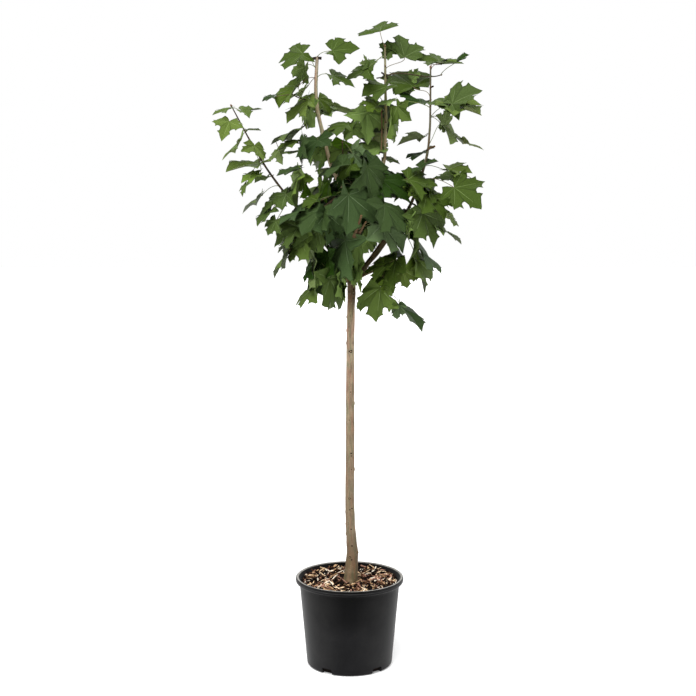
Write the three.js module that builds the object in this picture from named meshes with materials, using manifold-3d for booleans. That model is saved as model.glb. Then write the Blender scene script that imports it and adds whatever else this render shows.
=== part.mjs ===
// Young globe maple grown as a standard: one clean stem topped by a small, open, rounded head of
// large leaves, standing in a black moulded nursery container with bark mulch on its soil.
// Millimetres, +Z up. The origin is the middle of the container's flat underside, and the plant's
// front looks along -Y.
import * as THREE from "three";
import { mergeVertices } from "three/addons/utils/BufferGeometryUtils.js";
import Module from "manifold-3d";

const wasm = await Module();
wasm.setup();

// ---------------------------------------------------------------- driving dimensions
const POT = {
  height: 232, // floor to the top of the rim
  rimR: 140, // outside of the rolled rim
  rimDrop: 14, // height of the rim's skirt
  shoulderR: 129.9, // wall just under the rim
  footR: 110.4, // wall at the foot
  footRound: 7, // rounding at the bottom edge
  wall: 2.2,
  floor: 3.2,
  sides: 36,
  notches: 5, // drainage cut-outs round the bottom edge
  notchTurn: -32, // degrees of the first notch from the front, towards +X
  notchWide: 34,
  notchHigh: 15,
  notchIn: 13, // how far a notch runs in under the floor
};
const SOIL = { top: 217, gap: 0.4, sides: 30 };
const STEM = { sides: 12, steps: 20, foot: SOIL.top + 0.4, fork: 1000 };
const LIMB = { sides: 8, mmPerStep: 52 };
const CLEAR = 0.4; // gap between touching wooden pieces
const LEAF_CLEAR = 2.0; // extra radius used when one mass makes room for another
const LUMPS = 14; // bulges and dents on each mass of leaves
const SMALL = 75; // masses no wider than this on their longer half need fewer facets

// Stem: height, sideways place and radius. It leaves the soil with a flare, kicks a little to the
// right above it and then runs straight to the graft under the head.
const STEM_LINE = [
  [STEM.foot, 3.6, 18.2],
  [234.4, 4.7, 17.2],
  [266.5, 5.7, 15.7],
  [295.5, 7.3, 14.3],
  [327.6, 5.4, 12.9],
  [372.7, 2.2, 11.6],
  [433.7, 0.7, 11.1],
  [554.7, 1.5, 10.6],
  [688.5, 1.6, 10.3],
  [821.1, 1.9, 9.7],
  [926.7, 3.4, 9.5],
  [965.5, 4.8, 9.7],
  [STEM.fork, 4.8, 9.8],
];

// Boughs, each from the fork through one or more bends to its tip, with the radius at both ends.
const BOUGHS = [
  ["left_leader", 6.8, 4.4, [[3, 0, 1000], [7, -6, 1104], [-20, -12, 1231], [-47, -14, 1293], [-57, -14, 1329], [-69, -14, 1377], [-80, -14, 1426], [-83.5, -14, 1475], [-80, -14, 1555]]],
  ["centre_leader", 6.4, 2.6, [[6, 4, 1001], [16, 8, 1120], [54, 16, 1220], [86, 22, 1298], [89, 24, 1345], [91, 26, 1408], [89.7, 26, 1472], [88, 26, 1582]]],
  ["right_leader", 5.2, 2.1, [[8, -3, 1005], [31, -10, 1019], [45, -15, 1043], [67, -21, 1068], [85, -26, 1094], [147, -36, 1185], [189.5, -39, 1308], [197.2, -41, 1376], [198.2, -42, 1437], [198, -42, 1526]]],
  ["left_shoot", 4.8, 1.7, [[-2, -3, 1003], [-29, -14, 1049], [-112, -24, 1160], [-196, -32, 1268], [-244, -36, 1347], [-290, -38, 1433]]],
  ["low_left_bough", 4.4, 3.2, [[-4, -5, 1002], [-34, -26, 1028], [-83, -60, 1062]]],
  ["low_right_bough", 4.4, 3.2, [[11, -5, 1002], [41, -30, 1020], [85, -62, 1042]]],
  ["front_bough", 4.6, 3.2, [[3, -7, 1002], [3, -50, 1052], [5, -105, 1129]]],
  ["back_bough", 5.4, 3.4, [[6, 8, 1002], [11, 60, 1054], [22, 125, 1144]]],
  ["back_left_bough", 5.0, 3.2, [[-2, 6, 1002], [-40, 58, 1060], [-108, 118, 1160]]],
  ["back_right_bough", 5.0, 3.2, [[11, 6, 1002], [62, 58, 1065], [136, 118, 1170]]],
];

// Masses of leaves: middle, half sizes (across, deep, high) and tilt in the front view, in degrees.
const MASSES = [
  ["leaves_top", [66, 20, 1625], [62, 48, 24], -12],
  ["leaves_top_right", [187, 46, 1576], [118, 58, 38], 10],
  ["leaves_top_left", [-152, -20, 1508], [70, 62, 82], 10],
  ["leaves_top_middle", [-16, -40, 1538], [50, 55, 66], -16],
  ["leaves_left_spray_tip", [-282, -40, 1405], [74, 50, 38], -14],
  ["leaves_left_spray", [-227, -40, 1308], [100, 62, 50], 38],
  ["leaves_left_spray_foot", [-227, -50, 1210], [52, 44, 50], -30],
  ["leaves_right_top", [270, -60, 1438], [74, 55, 66], 8],
  ["leaves_right_tail", [271, -50, 1357], [72, 42, 32], 32],
  ["leaves_right_big", [276, -80, 1237], [68, 60, 70], 6],
  ["leaves_hanging_right", [144, -100, 922], [50, 38, 36], 38],
  ["leaves_front_middle", [5, -165, 1172], [106, 88, 79], 0],
  ["leaves_front_top", [15, -195, 1359], [74, 72, 74], 0],
  ["leaves_left_upper", [-79, 10, 1427], [94, 66, 49], -6],
  ["leaves_centre_top", [75, -10, 1460], [72, 74, 90], 0],
  ["leaves_middle", [5, -50, 1322], [84, 85, 96], 0],
  ["leaves_left_middle", [-123, -30, 1298], [76, 80, 95], 18],
  ["leaves_right_inner", [159, 20, 1335], [56, 60, 50], -10],
  ["leaves_right_middle", [145, -20, 1231], [72, 75, 62], -8],
  ["leaves_left_low", [-162, -90, 1137], [68, 90, 88], -22],
  ["leaves_low_left", [-79, -80, 1018], [68, 85, 92], -8],
  ["leaves_low_right", [70, -90, 994], [70, 85, 92], 8],
  ["leaves_right_low", [173, -50, 1096], [62, 95, 110], -14],
  ["leaves_back_left", [-150, 155, 1246], [114, 92, 140], 10],
  ["leaves_back_right", [163, 155, 1236], [114, 92, 140], -10],
  ["leaves_back_middle", [6, 240, 1195], [112, 70, 150], 0],
  ["leaves_back_top", [-11, 140, 1400], [116, 84, 92], 0],
  ["leaves_back_low", [1, 112, 1041], [100, 78, 82], 0],
];

// ---------------------------------------------------------------- materials
const plastic = new THREE.MeshStandardMaterial({ color: 0x242526, roughness: 0.55, metalness: 0 });
const mulch = new THREE.MeshStandardMaterial({ color: 0x6e4f38, roughness: 0.95, metalness: 0 });
const stemBark = new THREE.MeshStandardMaterial({ color: 0x957f67, roughness: 0.85, metalness: 0 });
const boughBark = new THREE.MeshStandardMaterial({ color: 0xa38a6b, roughness: 0.8, metalness: 0 });
const leaf = new THREE.MeshStandardMaterial({ color: 0x4a6b2c, roughness: 0.6, metalness: 0 });

// ---------------------------------------------------------------- helpers
// A seeded stream of numbers from 0 to 1.
function stream(seed) {
  let s = seed >>> 0;
  return () => {
    s = (s + 0x6d2b79f5) >>> 0;
    let t = Math.imul(s ^ (s >>> 15), 1 | s);
    t = (t + Math.imul(t ^ (t >>> 7), 61 | t)) ^ t;
    return ((t ^ (t >>> 14)) >>> 0) / 4294967296;
  };
}

// Keeps only positions, with shared corners merged.
function bare(geometry) {
  for (const name of Object.keys(geometry.attributes)) if (name !== "position") geometry.deleteAttribute(name);
  return mergeVertices(geometry, 1e-4);
}

function solid(geometry) {
  const g = bare(geometry.clone());
  return new wasm.Manifold(
    new wasm.Mesh({
      numProp: 3,
      vertProperties: new Float32Array(g.attributes.position.array),
      triVerts: new Uint32Array(g.index.array),
    }),
  );
}

function geometryOf(made) {
  const m = made.getMesh();
  const v = new Float32Array(m.numVert * 3);
  for (let i = 0; i < m.numVert; i++) v.set(m.vertProperties.subarray(i * m.numProp, i * m.numProp + 3), i * 3);
  const g = new THREE.BufferGeometry();
  g.setAttribute("position", new THREE.BufferAttribute(v, 3));
  g.setIndex(new THREE.BufferAttribute(new Uint32Array(m.triVerts), 1));
  g.computeVertexNormals();
  return g;
}

// The largest body left after a cut, with slivers finer than `fine` smoothed away.
function mainBody(made, fine) {
  const bodies = made.decompose();
  bodies.sort((a, b) => b.volume() - a.volume());
  return bodies[0].simplify(fine);
}

// A tapering limb: a capped cylinder laid along a curve, its radius read from radiusAt(t).
function limb(curve, radiusAt, sides, steps, extra = 0) {
  const g = bare(new THREE.CylinderGeometry(1, 1, 1, sides, steps));
  const frames = curve.computeFrenetFrames(steps, false);
  const p = g.attributes.position;
  for (let i = 0; i < p.count; i++) {
    const t = Math.min(1, Math.max(0, p.getY(i) + 0.5));
    const k = Math.round(t * steps);
    const c = curve.getPointAt(t);
    const r = radiusAt(t) + extra;
    const x = p.getX(i) * r;
    const z = p.getZ(i) * r;
    // the extra radius is added past the ends too
    const past = extra && (t === 0 || t === 1) ? (t === 0 ? -extra : extra) : 0;
    p.setXYZ(
      i,
      c.x + frames.normals[k].x * x + frames.binormals[k].x * z + frames.tangents[k].x * past,
      c.y + frames.normals[k].y * x + frames.binormals[k].y * z + frames.tangents[k].y * past,
      c.z + frames.normals[k].z * x + frames.binormals[k].z * z + frames.tangents[k].z * past,
    );
  }
  g.computeVertexNormals();
  const made = solid(g);
  if (made.volume() > 0) return made;
  const index = g.index.array;
  for (let i = 0; i < index.length; i += 3) [index[i + 1], index[i + 2]] = [index[i + 2], index[i + 1]];
  return solid(g);
}

// The stem's own curve: straight up, its sideways place and radius eased between the rows above.
function stemAt(z) {
  let k = 0;
  while (k < STEM_LINE.length - 2 && z > STEM_LINE[k + 1][0]) k++;
  const [a, b] = [STEM_LINE[k], STEM_LINE[k + 1]];
  const t = Math.min(1, Math.max(0, (z - a[0]) / (b[0] - a[0])));
  const s = t * t * (3 - 2 * t);
  return [a[1] + (b[1] - a[1]) * s, a[2] + (b[2] - a[2]) * t];
}

function stem(extra = 0) {
  const g = bare(new THREE.CylinderGeometry(1, 1, 1, STEM.sides, STEM.steps));
  g.rotateX(Math.PI / 2);
  const p = g.attributes.position;
  for (let i = 0; i < p.count; i++) {
    const t = p.getZ(i) + 0.5;
    // rings crowd towards the flare
    const z = STEM.foot + (STEM.fork - STEM.foot) * Math.pow(t, 1.5);
    const [x, r] = stemAt(z);
    const turn = Math.atan2(p.getY(i), p.getX(i));
    const low = Math.max(0, 1 - (z - STEM.foot) / 70);
    const full = Math.hypot(p.getX(i), p.getY(i)) < 0.5 ? 0 : r * (1 + 0.05 * low * Math.sin(3 * turn + 0.6)) + extra;
    p.setXYZ(i, x + Math.cos(turn) * full, Math.sin(turn) * full, t >= 1 ? z + extra : z);
  }
  return solid(g);
}

// One mass of leaves: a ball pulled to its sizes, with seeded bulges where sprays stand out and
// dents between them.
function mass(seed, middle, half, tilt, extra = 0) {
  const next = stream(seed * 7919 + 13);
  const bulges = [];
  for (let k = 0; k < LUMPS; k++) {
    const h = 2 * next() - 1;
    const a = 2 * Math.PI * next();
    const q = Math.sqrt(1 - h * h);
    bulges.push([new THREE.Vector3(q * Math.cos(a), q * Math.sin(a), h), (k % 3 ? 1 : -1) * (0.14 + 0.18 * next())]);
  }
  const g = bare(new THREE.IcosahedronGeometry(1, Math.max(half[0], half[2]) < SMALL ? 1 : 2));
  const p = g.attributes.position;
  const turn = new THREE.Matrix4().makeRotationY(THREE.MathUtils.degToRad(tilt));
  const n = new THREE.Vector3();
  for (let i = 0; i < p.count; i++) {
    n.fromBufferAttribute(p, i).normalize();
    let r = 0.88;
    for (const [way, size] of bulges) r += size * Math.pow(Math.max(0, n.dot(way)), 6);
    r = Math.min(1.08, Math.max(0.66, r));
    n.set(n.x * (half[0] * r + extra), n.y * (half[1] * r + extra), n.z * (half[2] * r + extra));
    n.applyMatrix4(turn);
    p.setXYZ(i, n.x + middle[0], n.y + middle[1], n.z + middle[2]);
  }
  return solid(g);
}

// ---------------------------------------------------------------- container and soil
const wallAt = (z) => POT.footR + ((POT.shoulderR - POT.footR) * z) / (POT.height - POT.rimDrop);

function container() {
  const top = POT.height;
  const r = POT.footRound;
  const rimIn = wallAt(top - POT.rimDrop) - POT.wall;
  const outline = [[0, 0]];
  outline.push([POT.footR - r, 0]);
  outline.push([POT.footR - r * 0.3, r * 0.3]);
  outline.push([wallAt(r), r]);
  outline.push([wallAt(top - POT.rimDrop - 3), top - POT.rimDrop - 3]);
  outline.push([POT.shoulderR + 1.2, top - POT.rimDrop]);
  outline.push([POT.rimR - 1, top - POT.rimDrop + 0.6]);
  outline.push([POT.rimR, top - POT.rimDrop * 0.55]);
  outline.push([POT.rimR - 1.6, top - 2]);
  outline.push([POT.rimR - 5, top]);
  outline.push([rimIn + 3, top - 0.4]);
  outline.push([rimIn + 0.4, top - 3.4]);
  outline.push([wallAt(top - POT.rimDrop - 3) - POT.wall, top - POT.rimDrop - 3]);
  outline.push([wallAt(r + POT.floor) - POT.wall, POT.floor + 3]);
  outline.push([POT.footR - r, POT.floor]);
  outline.push([0, POT.floor]);
  const g = new THREE.LatheGeometry(outline.map(([x, y]) => new THREE.Vector2(x, y)), POT.sides);
  g.rotateX(Math.PI / 2);
  let made = solid(g);
  for (let k = 0; k < POT.notches; k++) {
    const a = THREE.MathUtils.degToRad(POT.notchTurn + (360 / POT.notches) * k);
    const b = new THREE.BoxGeometry(POT.notchWide, POT.notchIn * 2, POT.notchHigh * 2);
    // narrower towards the top, as the real cut-outs are
    const p = b.attributes.position;
    for (let i = 0; i < p.count; i++) if (p.getZ(i) > 0) p.setX(i, p.getX(i) * 0.8);
    b.translate(0, -POT.footR, 0);
    b.rotateZ(a);
    made = made.subtract(solid(b));
  }
  return mainBody(made, 0.02);
}

function soil() {
  const low = POT.floor + SOIL.gap;
  const inside = (z) => wallAt(z) - POT.wall - SOIL.gap;
  const outline = [
    [0, low],
    [POT.footR - POT.footRound - 2, low],
    [inside(24) - 1.5, 24],
    [inside(SOIL.top - 4) - 0.6, SOIL.top - 4],
    [inside(SOIL.top) - 3, SOIL.top],
    [0, SOIL.top],
  ];
  const g = new THREE.LatheGeometry(outline.map(([x, y]) => new THREE.Vector2(x, y)), SOIL.sides);
  g.rotateX(Math.PI / 2);
  return solid(g);
}

// ---------------------------------------------------------------- assembly
const plant = new THREE.Group();
plant.name = "potted_globe_maple";

function add(name, made, material) {
  const mesh = new THREE.Mesh(geometryOf(made), material);
  mesh.name = name;
  plant.add(mesh);
}

add("pot", container(), plastic);
add("soil_and_mulch", soil(), mulch);

// room that later pieces leave round earlier ones: a little between wood, more round leaves
const woodRoom = [stem(CLEAR)];
const leafRoom = [stem(LEAF_CLEAR)];
add("trunk", stem(), stemBark);

for (const [name, r0, r1, line] of BOUGHS) {
  const curve = new THREE.CatmullRomCurve3(line.map((q) => new THREE.Vector3(...q)), false, "centripetal");
  const steps = Math.max(5, Math.round(curve.getLength() / LIMB.mmPerStep));
  const taper = (t) => r0 + (r1 - r0) * t;
  let made = limb(curve, taper, LIMB.sides, steps);
  for (const c of woodRoom) made = made.subtract(c);
  add(name, mainBody(made, 0.05), boughBark);
  woodRoom.push(limb(curve, taper, LIMB.sides, steps, CLEAR));
  leafRoom.push(limb(curve, taper, LIMB.sides, steps, LEAF_CLEAR));
}

MASSES.forEach(([name, middle, half, tilt], k) => {
  let made = mass(k + 1, middle, half, tilt);
  for (const c of leafRoom) made = made.subtract(c);
  add(name, mainBody(made, LEAF_CLEAR * 0.3), leaf);
  leafRoom.push(mass(k + 1, middle, half, tilt, LEAF_CLEAR));
});

export default plant;
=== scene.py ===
"""Looks of a young globe maple grown as a standard, in a black nursery container.

Everything is in metres in the CAD frame; lengths below are in millimetres until a piece is built.
The boughs carry twigs, the twigs carry leaf stalks, and each stalk carries one five-lobed leaf.
"""

import math
import random

import bpy
import numpy as np
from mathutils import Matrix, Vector, noise


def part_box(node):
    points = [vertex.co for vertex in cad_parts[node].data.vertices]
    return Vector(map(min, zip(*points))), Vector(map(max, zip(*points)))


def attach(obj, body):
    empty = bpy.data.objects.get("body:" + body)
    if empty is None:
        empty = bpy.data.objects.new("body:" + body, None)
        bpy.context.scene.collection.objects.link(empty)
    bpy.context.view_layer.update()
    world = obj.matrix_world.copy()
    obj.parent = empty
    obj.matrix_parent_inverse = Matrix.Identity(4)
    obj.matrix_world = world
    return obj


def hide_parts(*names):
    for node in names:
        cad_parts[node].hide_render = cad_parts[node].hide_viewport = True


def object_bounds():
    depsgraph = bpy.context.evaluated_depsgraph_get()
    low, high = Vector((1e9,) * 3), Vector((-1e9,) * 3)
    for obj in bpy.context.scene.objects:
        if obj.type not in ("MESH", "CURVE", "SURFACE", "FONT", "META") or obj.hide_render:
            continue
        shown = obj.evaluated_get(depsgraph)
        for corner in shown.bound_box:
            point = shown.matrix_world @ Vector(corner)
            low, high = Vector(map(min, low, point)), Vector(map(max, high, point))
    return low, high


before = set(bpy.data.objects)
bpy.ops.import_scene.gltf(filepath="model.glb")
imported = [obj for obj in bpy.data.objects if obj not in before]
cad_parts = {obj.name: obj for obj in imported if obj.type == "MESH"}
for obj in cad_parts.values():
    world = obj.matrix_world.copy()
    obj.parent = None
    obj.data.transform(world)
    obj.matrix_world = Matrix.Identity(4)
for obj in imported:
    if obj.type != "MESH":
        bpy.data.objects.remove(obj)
cad_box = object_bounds()
scene = bpy.context.scene
MM = 0.001

# ------------------------------------------------------------------ camera
FOCAL = 1388.0 / 696.0  # focal length over the frame's width
EYE = np.array([-4.1, -3500.0, 1290.0])
PITCH = math.radians(7.5)

cam_data = bpy.data.cameras.new("camera")
cam_data.sensor_fit = "HORIZONTAL"
cam_data.sensor_width = 36.0
cam_data.lens = 36.0 * FOCAL
cam_data.clip_end = 60.0
cam = bpy.data.objects.new("camera", cam_data)
cam.location = EYE * MM
cam.rotation_euler = (math.pi / 2 - PITCH, 0, 0)
scene.collection.objects.link(cam)
scene.camera = cam


def at(u, v, y=0.0):
    """The point at depth y that stands u to the right and v down in a front view of 696 by 696."""
    a, b = (u - 348) / (FOCAL * 696), (348 - v) / (FOCAL * 696)
    t = (y - EYE[1]) / (math.cos(PITCH) + math.sin(PITCH) * b)
    return np.array([EYE[0] + t * a, y, EYE[2] + t * (-math.sin(PITCH) + math.cos(PITCH) * b)])


def front(p):
    """Where points stand in that front view."""
    d = np.asarray(p, float) - EYE
    deep = d[..., 1] * math.cos(PITCH) - d[..., 2] * math.sin(PITCH)
    up = d[..., 1] * math.sin(PITCH) + d[..., 2] * math.cos(PITCH)
    k = FOCAL * 696
    return np.stack([348 + k * d[..., 0] / deep, 348 - k * up / deep], -1)


# ------------------------------------------------------------------ materials
def lin(r, g, b):
    """A linear colour from 0-255 display values."""
    return tuple(((c / 255) / 12.92 if c < 10.3 else ((c / 255 + 0.055) / 1.055) ** 2.4) for c in (r, g, b))


def material(name, colour, rough=0.6, spec=0.5):
    m = bpy.data.materials.new(name)
    m.use_nodes = True
    p = m.node_tree.nodes["Principled BSDF"]
    p.inputs["Base Color"].default_value = (*colour, 1)
    p.inputs["Roughness"].default_value = rough
    p.inputs["Specular IOR Level"].default_value = spec
    m.diffuse_color = (*colour, 1)
    return m


def nodes_of(m):
    nt = m.node_tree
    return nt, nt.nodes["Principled BSDF"]


def tex_noise(nt, scale, detail=6.0, rough=0.6, distort=0.0, stretch=None):
    tc = nt.nodes.new("ShaderNodeTexCoord")
    out = tc.outputs["Object"]
    if stretch:
        mp = nt.nodes.new("ShaderNodeMapping")
        mp.inputs["Scale"].default_value = stretch
        nt.links.new(out, mp.inputs["Vector"])
        out = mp.outputs["Vector"]
    n = nt.nodes.new("ShaderNodeTexNoise")
    n.inputs["Scale"].default_value = scale
    n.inputs["Detail"].default_value = detail
    n.inputs["Roughness"].default_value = rough
    n.inputs["Distortion"].default_value = distort
    nt.links.new(out, n.inputs["Vector"])
    return n.outputs["Fac"]


def ramp(nt, fac, stops):
    r = nt.nodes.new("ShaderNodeValToRGB")
    els = r.color_ramp.elements
    while len(els) < len(stops):
        els.new(0.5)
    for e, (pos, col) in zip(els, stops):
        e.position = pos
        e.color = (*col, 1) if len(col) == 3 else col
    nt.links.new(fac, r.inputs["Fac"])
    return r.outputs["Color"]


def mix(nt, fac, a, b, mode="MIX"):
    n = nt.nodes.new("ShaderNodeMix")
    n.data_type = "RGBA"
    n.blend_type = mode
    for sock, val in ((n.inputs[0], fac), (n.inputs[6], a), (n.inputs[7], b)):
        if hasattr(val, "is_linked"):
            nt.links.new(val, sock)
        elif isinstance(val, tuple):
            sock.default_value = (*val, 1)
        else:
            sock.default_value = val
    return n.outputs[2]


def bump(nt, p, fac, strength, distance):
    b = nt.nodes.new("ShaderNodeBump")
    b.inputs["Strength"].default_value = strength
    b.inputs["Distance"].default_value = distance
    nt.links.new(fac, b.inputs["Height"])
    nt.links.new(b.outputs["Normal"], p.inputs["Normal"])


# How things look in the studio, divided by the light that falls on them.
LIT = 0.70


def tint(rgb, k=1.0):
    return tuple(min(1.0, c * LIT * k) for c in lin(*rgb))


# Leaf tones: upper face and underside. Each leaf takes one tone, which is partly its own colour and partly painted
# light or shade: the darkest tones paint shade on leaves deep in the head, and the palest paint light on leaves that
# the lamps leave in shade.
TONES = {
    "k": [(44, 71, 18), (68, 84, 52)],
    "q": [(55, 76, 38), (76, 92, 60)],
    "b": [(64, 84, 44), (84, 97, 70)],
    "e": [(71, 93, 53), (88, 102, 74)],
    "d": [(73, 94, 33), (92, 111, 60)],
    "o": [(80, 100, 47), (98, 111, 72)],
    "n": [(88, 111, 36), (96, 112, 64)],
    "v": [(97, 138, 31), (110, 140, 60)],
    "h": [(95, 117, 52), (112, 122, 94)],
    "c": [(100, 122, 80), (122, 134, 92)],
    "l": [(108, 129, 58), (116, 127, 75)],
    "s": [(119, 138, 80), (134, 142, 121)],
    "y": [(121, 150, 62), (140, 162, 96)],
    "g": [(145, 175, 94), (156, 174, 110)],
}
leaf_mats = {}
for tone, (top, under) in TONES.items():
    up_m = material(f"leaf_{tone}_upper", tint(top), 0.55, 0.06)
    ed_m = material(f"leaf_{tone}_margin", tint(top, 0.68), 0.55, 0.06)
    ve_m = material(f"leaf_{tone}_vein", tint([c + (26 if sum(top) < 200 else 48) for c in top]), 0.60, 0.06)
    un_m = material(f"leaf_{tone}_under", tint(under), 0.7, 0.05)
    for m, size in ((up_m, 190.0), (ed_m, 190.0), (ve_m, 900.0), (un_m, 240.0)):
        nt, p = nodes_of(m)
        bump(nt, p, tex_noise(nt, size, 4.0), 0.6, 0.0030)
    leaf_mats[tone] = (up_m, ed_m, ve_m, un_m)

stalk_mats = [
    material("stalk_green", tint((126, 138, 78)), 0.5, 0.3),
    material("stalk_tan", tint((136, 122, 84)), 0.55, 0.3),
    material("stalk_red", tint((104, 76, 58)), 0.55, 0.3),
]
for m in stalk_mats:
    nt, p = nodes_of(m)
    bump(nt, p, tex_noise(nt, 800.0, 3.0), 0.3, 0.0004)


def bark_material(name, stops, z0, z1, streaks, spots):
    """Bark whose colour changes with height, with streaks, clouds and pale pores."""
    mid = tint(stops[len(stops) // 2][1])
    m = material(name, mid, 0.75, 0.2)
    nt, p = nodes_of(m)
    tc = nt.nodes.new("ShaderNodeTexCoord")
    sep = nt.nodes.new("ShaderNodeSeparateXYZ")
    nt.links.new(tc.outputs["Object"], sep.inputs[0])
    mr = nt.nodes.new("ShaderNodeMapRange")
    mr.inputs["From Min"].default_value = z0
    mr.inputs["From Max"].default_value = z1
    nt.links.new(sep.outputs["Z"], mr.inputs["Value"])
    base = ramp(nt, mr.outputs["Result"], [((z - z0) / (z1 - z0), tint(c)) for z, c in stops])
    streak = tex_noise(nt, 60.0, 8.0, 0.65, 0.4, (4.0, 4.0, 0.45))
    cloud = tex_noise(nt, 24.0, 6.0, 0.6)
    pink = tex_noise(nt, 31.0, 5.0, 0.55, 0.6, (1.0, 1.0, 0.6))
    pores = tex_noise(nt, 160.0, 4.0, 0.6, 0.0, (1.0, 1.0, 2.6))
    bands = tex_noise(nt, 34.0, 5.0, 0.6, 0.5, (5.0, 5.0, 0.55))
    specks = tex_noise(nt, 330.0, 4.0, 0.7, 0.0, (1.0, 1.0, 0.8))
    c0 = mix(nt, 1.0, base, ramp(nt, bands, [(0.38, (0.72, 0.88, 0.74)), (0.49, (1.06, 1.04, 1.02)), (0.61, (1.0, 0.78, 0.74))]), "MULTIPLY")
    c0 = mix(nt, ramp(nt, specks, [(0.32, (0.6,) * 3), (0.46, (0.0,) * 3)]), c0, tuple(c * 0.35 for c in mid))
    c1 = mix(nt, ramp(nt, streak, [(0.36, (streaks,) * 3), (0.58, (0.0,) * 3)]), c0, tuple(c * 0.42 for c in mid))
    c2 = mix(nt, ramp(nt, cloud, [(0.52, (0.0,) * 3), (0.74, (0.45,) * 3)]), c1, tuple(min(1.0, c * 1.5) for c in mid))
    c3 = mix(nt, ramp(nt, pink, [(0.55, (0.0,) * 3), (0.72, (0.40,) * 3)]), c2, (mid[0] * 0.95, mid[1] * 0.68, mid[2] * 0.62))
    c4 = mix(nt, ramp(nt, pores, [(0.62, (0.0,) * 3), (0.70, (0.5,) * 3)]), c3, tint(spots))
    nt.links.new(c4, p.inputs["Base Color"])
    bump(nt, p, streak, 0.5, 0.0016)
    rr = nt.nodes.new("ShaderNodeMapRange")
    rr.inputs["To Min"].default_value = 0.6
    rr.inputs["To Max"].default_value = 0.85
    nt.links.new(cloud, rr.inputs["Value"])
    nt.links.new(rr.outputs["Result"], p.inputs["Roughness"])
    return m


# the stem's colour runs with height; the dark brown at its top is the graft's own colour with the shadow of the head
# painted in
stem_bark = bark_material(
    "stem_bark",
    [(0.215, (138, 118, 87)), (0.262, (136, 116, 86)), (0.288, (121, 102, 74)), (0.317, (123, 105, 83)),
     (0.345, (134, 118, 96)), (0.37, (146, 130, 105)), (0.423, (140, 124, 98)), (0.489, (144, 130, 107)),
     (0.593, (155, 136, 111)), (0.671, (163, 144, 119)), (0.761, (180, 154, 130)), (0.838, (210, 188, 160)),
     (0.889, (212, 182, 155)), (0.922, (178, 152, 120)), (0.953, (108, 84, 55)), (1.0, (76, 62, 38))],
    0.215, 1.0, 0.75, (196, 180, 156),
)
# In the pale, mid and olive barks some stops are partly painted light: they are made paler to brighten stretches of the
# leaders and of the low right bough that the leaves above keep in shade.
barks = {
    "pale": bark_material("bark_pale_painted_light", [(1.0, (128, 104, 78)), (1.17, (205, 182, 146)), (1.25, (236, 216, 178)), (1.34, (230, 216, 176)), (1.39, (228, 212, 176)), (1.43, (212, 202, 162)), (1.49, (201, 188, 162)), (1.525, (197, 185, 164)), (1.56, (150, 138, 122))], 1.0, 1.6, 0.5, (208, 190, 160)),
    "mid": bark_material("bark_mid_painted_light", [(1.0, (108, 84, 60)), (1.2, (170, 148, 104)), (1.31, (210, 200, 160)), (1.37, (216, 206, 166)), (1.40, (206, 196, 146)), (1.43, (168, 160, 104)), (1.52, (150, 146, 112)), (1.55, (146, 138, 118)), (1.58, (120, 118, 78))], 1.0, 1.6, 0.5, (208, 196, 160)),
    "tan": bark_material("bark_tan", [(1.0, (108, 84, 60)), (1.2, (150, 126, 88)), (1.6, (146, 122, 92))], 1.0, 1.6, 0.6, (190, 170, 130)),
    "olive": bark_material("bark_olive_painted_light", [(1.0, (122, 104, 74)), (1.1, (114, 100, 70)), (1.2, (104, 92, 66)), (1.32, (122, 116, 88)), (1.4, (132, 122, 104)), (1.47, (108, 104, 88)), (1.56, (92, 86, 66))], 1.0, 1.6, 0.6, (160, 146, 112)),
    "dark": bark_material("bark_dark", [(1.0, (100, 82, 60)), (1.25, (84, 72, 56)), (1.6, (76, 64, 56))], 1.0, 1.6, 0.6, (120, 106, 86)),
}
twig_bark = bark_material("twig_bark", [(0.9, (92, 84, 54)), (1.2, (86, 82, 52)), (1.6, (92, 84, 60))], 0.9, 1.6, 0.6, (140, 132, 98))
stub_bark = bark_material("stub_bark", [(1.0, (104, 84, 56)), (1.2, (112, 86, 58)), (1.6, (96, 76, 54))], 1.0, 1.6, 0.9, (150, 128, 96))
knot_bark = bark_material("knot_bark", [(1.0, (60, 46, 32)), (1.3, (56, 42, 32)), (1.6, (52, 40, 32))], 1.0, 1.6, 0.9, (90, 74, 58))
scar_mat = material("bud_scar", lin(34, 23, 16), 0.9, 0.2)
nt, p = nodes_of(scar_mat)
nt.links.new(
    ramp(nt, tex_noise(nt, 300.0, 5.0), [(0.3, lin(20, 13, 9)), (0.7, lin(56, 38, 26))]), p.inputs["Base Color"]
)
cut_mat = material("cut_wood", lin(120, 88, 60), 0.85, 0.2)
nt, p = nodes_of(cut_mat)
nt.links.new(
    ramp(nt, tex_noise(nt, 500.0, 6.0), [(0.3, lin(70, 46, 30)), (0.7, lin(140, 104, 70))]), p.inputs["Base Color"]
)
heart_mat = material("scar_heart", tint((176, 150, 116)), 0.85, 0.2)
nt, p = nodes_of(heart_mat)
nt.links.new(
    ramp(nt, tex_noise(nt, 600.0, 5.0), [(0.3, tint((140, 112, 84))), (0.7, tint((200, 176, 140)))]), p.inputs["Base Color"]
)
bud_mat = material("bud_scales", lin(96, 66, 44), 0.6, 0.4)
nt, p = nodes_of(bud_mat)
nt.links.new(
    ramp(nt, tex_noise(nt, 400.0, 4.0), [(0.3, lin(70, 44, 30)), (0.7, lin(124, 92, 58))]), p.inputs["Base Color"]
)


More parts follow.
